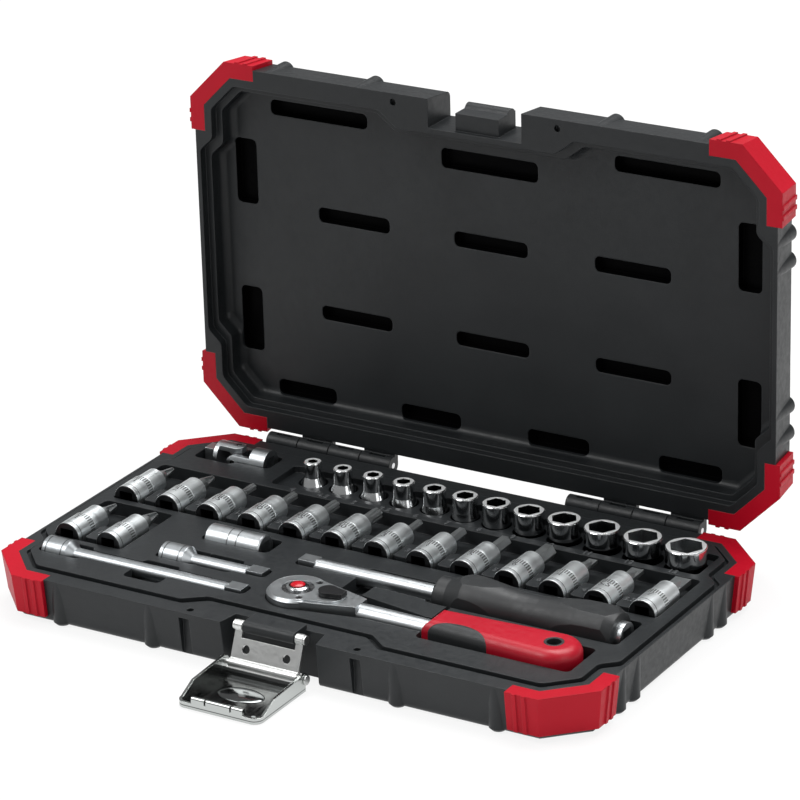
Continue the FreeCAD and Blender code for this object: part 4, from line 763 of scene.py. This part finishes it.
def tray_places():
    """Each tray number with its place and height: before each socket and between the bit sockets."""
    for label in SOCKETS:
        centre = middle("socket_%smm" % label.replace(".", "p"))[0]
        yield label, centre.x, SOCKET_NUMBER_ROW, SOCKET_NUMBER_HIGH
    for bits in (BACK_BITS, FRONT_BITS):
        for name, label in bits[:-1]:
            centre, low = middle("bit_" + name)[:2]
            yield label, centre.x + bit_pitch / 2, low.y + BIT_NUMBER_IN, BIT_NUMBER_HIGH


def tray_numbers():
    """Raised numbers on the tray, joined into one piece."""
    joined = bmesh.new()
    for label, x, y, height in tray_places():
        mesh = number_mesh(label, height, TRAY_RISE)
        mesh.transform(Matrix.Translation((x, y, TRAY_TOP)))
        joined.from_mesh(mesh)
        bpy.data.meshes.remove(mesh)
    add_piece("tray_numbers", finished_mesh(joined, "tray_numbers"), RAISED, "base")


def sleeve_number(name, label):
    """Number printed round the drive end of a bit socket's sleeve."""
    centre, low, high = middle("bit_" + name)
    radius = (high.x - low.x) / 2 + INK_LIFT
    mesh = number_mesh(label, INK_HIGH, 0.0)
    for vertex in mesh.vertices:
        turn = vertex.co.x / radius
        x = centre.x + radius * math.sin(turn)
        y = low.y + INK_IN + vertex.co.y
        z = centre.z + radius * math.cos(turn)
        vertex.co = (x, y, z)
    add_piece("mark_bit_" + name, mesh, INK, "bit_" + name)


lever_fold()
raised_domes()
tray_numbers()
for name, label in BACK_BITS + FRONT_BITS:
    sleeve_number(name, label)


# Stage, light and camera

FLOOR_HALF = 6.0
FLOOR_DROP = 0.0002
FLOOR_WHITE = 0.86
PAPER_SCALE = 3.0
PAPER_SHADES = ((0.86, 0.86, 0.86), (0.9, 0.9, 0.9))
PAPER_ROUGH = 0.9
FILL_STRENGTH = 0.32
CAMERA_PLACE = Vector((0.82620, -1.32870, 0.72915))
CAMERA_AIM = Vector((0.01046, 0.00639, 0.08990))
CAMERA_ROLL = -0.02827
CAMERA_LENS = 186.2
CAMERA_SENSOR = 36.0
CAMERA_NEAR = 0.05
CAMERA_FAR = 50.0


def build_stage():
    """A pale floor that shows white to the camera and keeps a faint shadow."""
    size = FLOOR_HALF
    mesh = bpy.data.meshes.new("floor")
    corners = [(-size, -size, 0), (size, -size, 0), (size, size, 0), (-size, size, 0)]
    mesh.from_pydata(corners, [], [(0, 1, 2, 3)])
    floor = bpy.data.objects.new("floor", mesh)
    floor.location.z = cad_box[0].z - FLOOR_DROP
    scene.collection.objects.link(floor)
    graph = Graph("floor_paper")
    graph.set(color=graph.clouded(PAPER_SCALE, *PAPER_SHADES), rough=PAPER_ROUGH)
    glow = graph.add("ShaderNodeEmission")
    glow.inputs["Strength"].default_value = 1.0
    rays = graph.add("ShaderNodeLightPath")
    seen = graph.either(rays.outputs["Is Camera Ray"], rays.outputs["Is Glossy Ray"])
    seen = graph.either(seen, rays.outputs["Is Transmission Ray"])
    blend = graph.add("ShaderNodeMixShader")
    graph.link(graph.both(seen, FLOOR_WHITE), blend.inputs[0])
    graph.link(graph.shader.outputs[0], blend.inputs[1])
    graph.link(glow.outputs[0], blend.inputs[2])
    graph.link(blend.outputs[0], graph.output.inputs[0])
    mesh.materials.append(graph.material)


def build_world():
    """A dim even fill that shows white to the camera."""
    world = bpy.data.worlds.new("studio")
    scene.world = world
    world.use_nodes = True
    tree = world.node_tree
    tree.nodes.clear()
    output = tree.nodes.new("ShaderNodeOutputWorld")
    fill = tree.nodes.new("ShaderNodeBackground")
    fill.inputs["Strength"].default_value = FILL_STRENGTH
    shown = tree.nodes.new("ShaderNodeBackground")
    shown.inputs["Color"].default_value = (1.0, 1.0, 1.0, 1.0)
    shown.inputs["Strength"].default_value = 1.0
    rays = tree.nodes.new("ShaderNodeLightPath")
    seen = tree.nodes.new("ShaderNodeMath")
    seen.operation = "MAXIMUM"
    tree.links.new(rays.outputs["Is Camera Ray"], seen.inputs[0])
    tree.links.new(rays.outputs["Is Transmission Ray"], seen.inputs[1])
    blend = tree.nodes.new("ShaderNodeMixShader")
    tree.links.new(seen.outputs[0], blend.inputs[0])
    tree.links.new(fill.outputs[0], blend.inputs[1])
    tree.links.new(shown.outputs[0], blend.inputs[2])
    tree.links.new(blend.outputs[0], output.inputs["Surface"])


def area_light(name, place, aim, size, power):
    data = bpy.data.lights.new(name, "AREA")
    data.shape = "RECTANGLE"
    data.size, data.size_y = size
    data.energy = power
    light = bpy.data.objects.new(name, data)
    light.location = place
    light.rotation_mode = "QUATERNION"
    light.rotation_quaternion = (Vector(aim) - Vector(place)).to_track_quat("-Z", "Y")
    scene.collection.objects.link(light)


def build_camera():
    """The photograph's view: place, aim, roll and lens found from the box's corners."""
    ahead = (CAMERA_AIM - CAMERA_PLACE).normalized()
    side = ahead.cross(Vector((0, 0, 1))).normalized()
    above = side.cross(ahead)
    turned = math.cos(CAMERA_ROLL) * side + math.sin(CAMERA_ROLL) * above
    top = -math.sin(CAMERA_ROLL) * side + math.cos(CAMERA_ROLL) * above
    data = bpy.data.cameras.new("photo_view")
    data.sensor_width = CAMERA_SENSOR
    data.lens = CAMERA_LENS
    data.clip_start = CAMERA_NEAR
    data.clip_end = CAMERA_FAR
    camera = bpy.data.objects.new("photo_view", data)
    matrix = Matrix((turned, top, -ahead)).transposed().to_4x4()
    matrix.translation = CAMERA_PLACE
    camera.matrix_world = matrix
    scene.collection.objects.link(camera)
    scene.camera = camera


build_stage()
build_world()
area_light("key", place=(-0.9, -0.9, 1.5), aim=(0.0, 0.0, 0.05), size=(1.2, 1.0), power=18.0)
area_light("top", place=(0.1, 0.55, 1.6), aim=(0.0, 0.0, 0.0), size=(1.6, 1.2), power=44.0)
area_light("right", place=(1.5, -0.5, 0.8), aim=(0.0, 0.0, 0.08), size=(0.9, 1.1), power=4.5)
build_camera()
scene.view_settings.view_transform = "Standard"
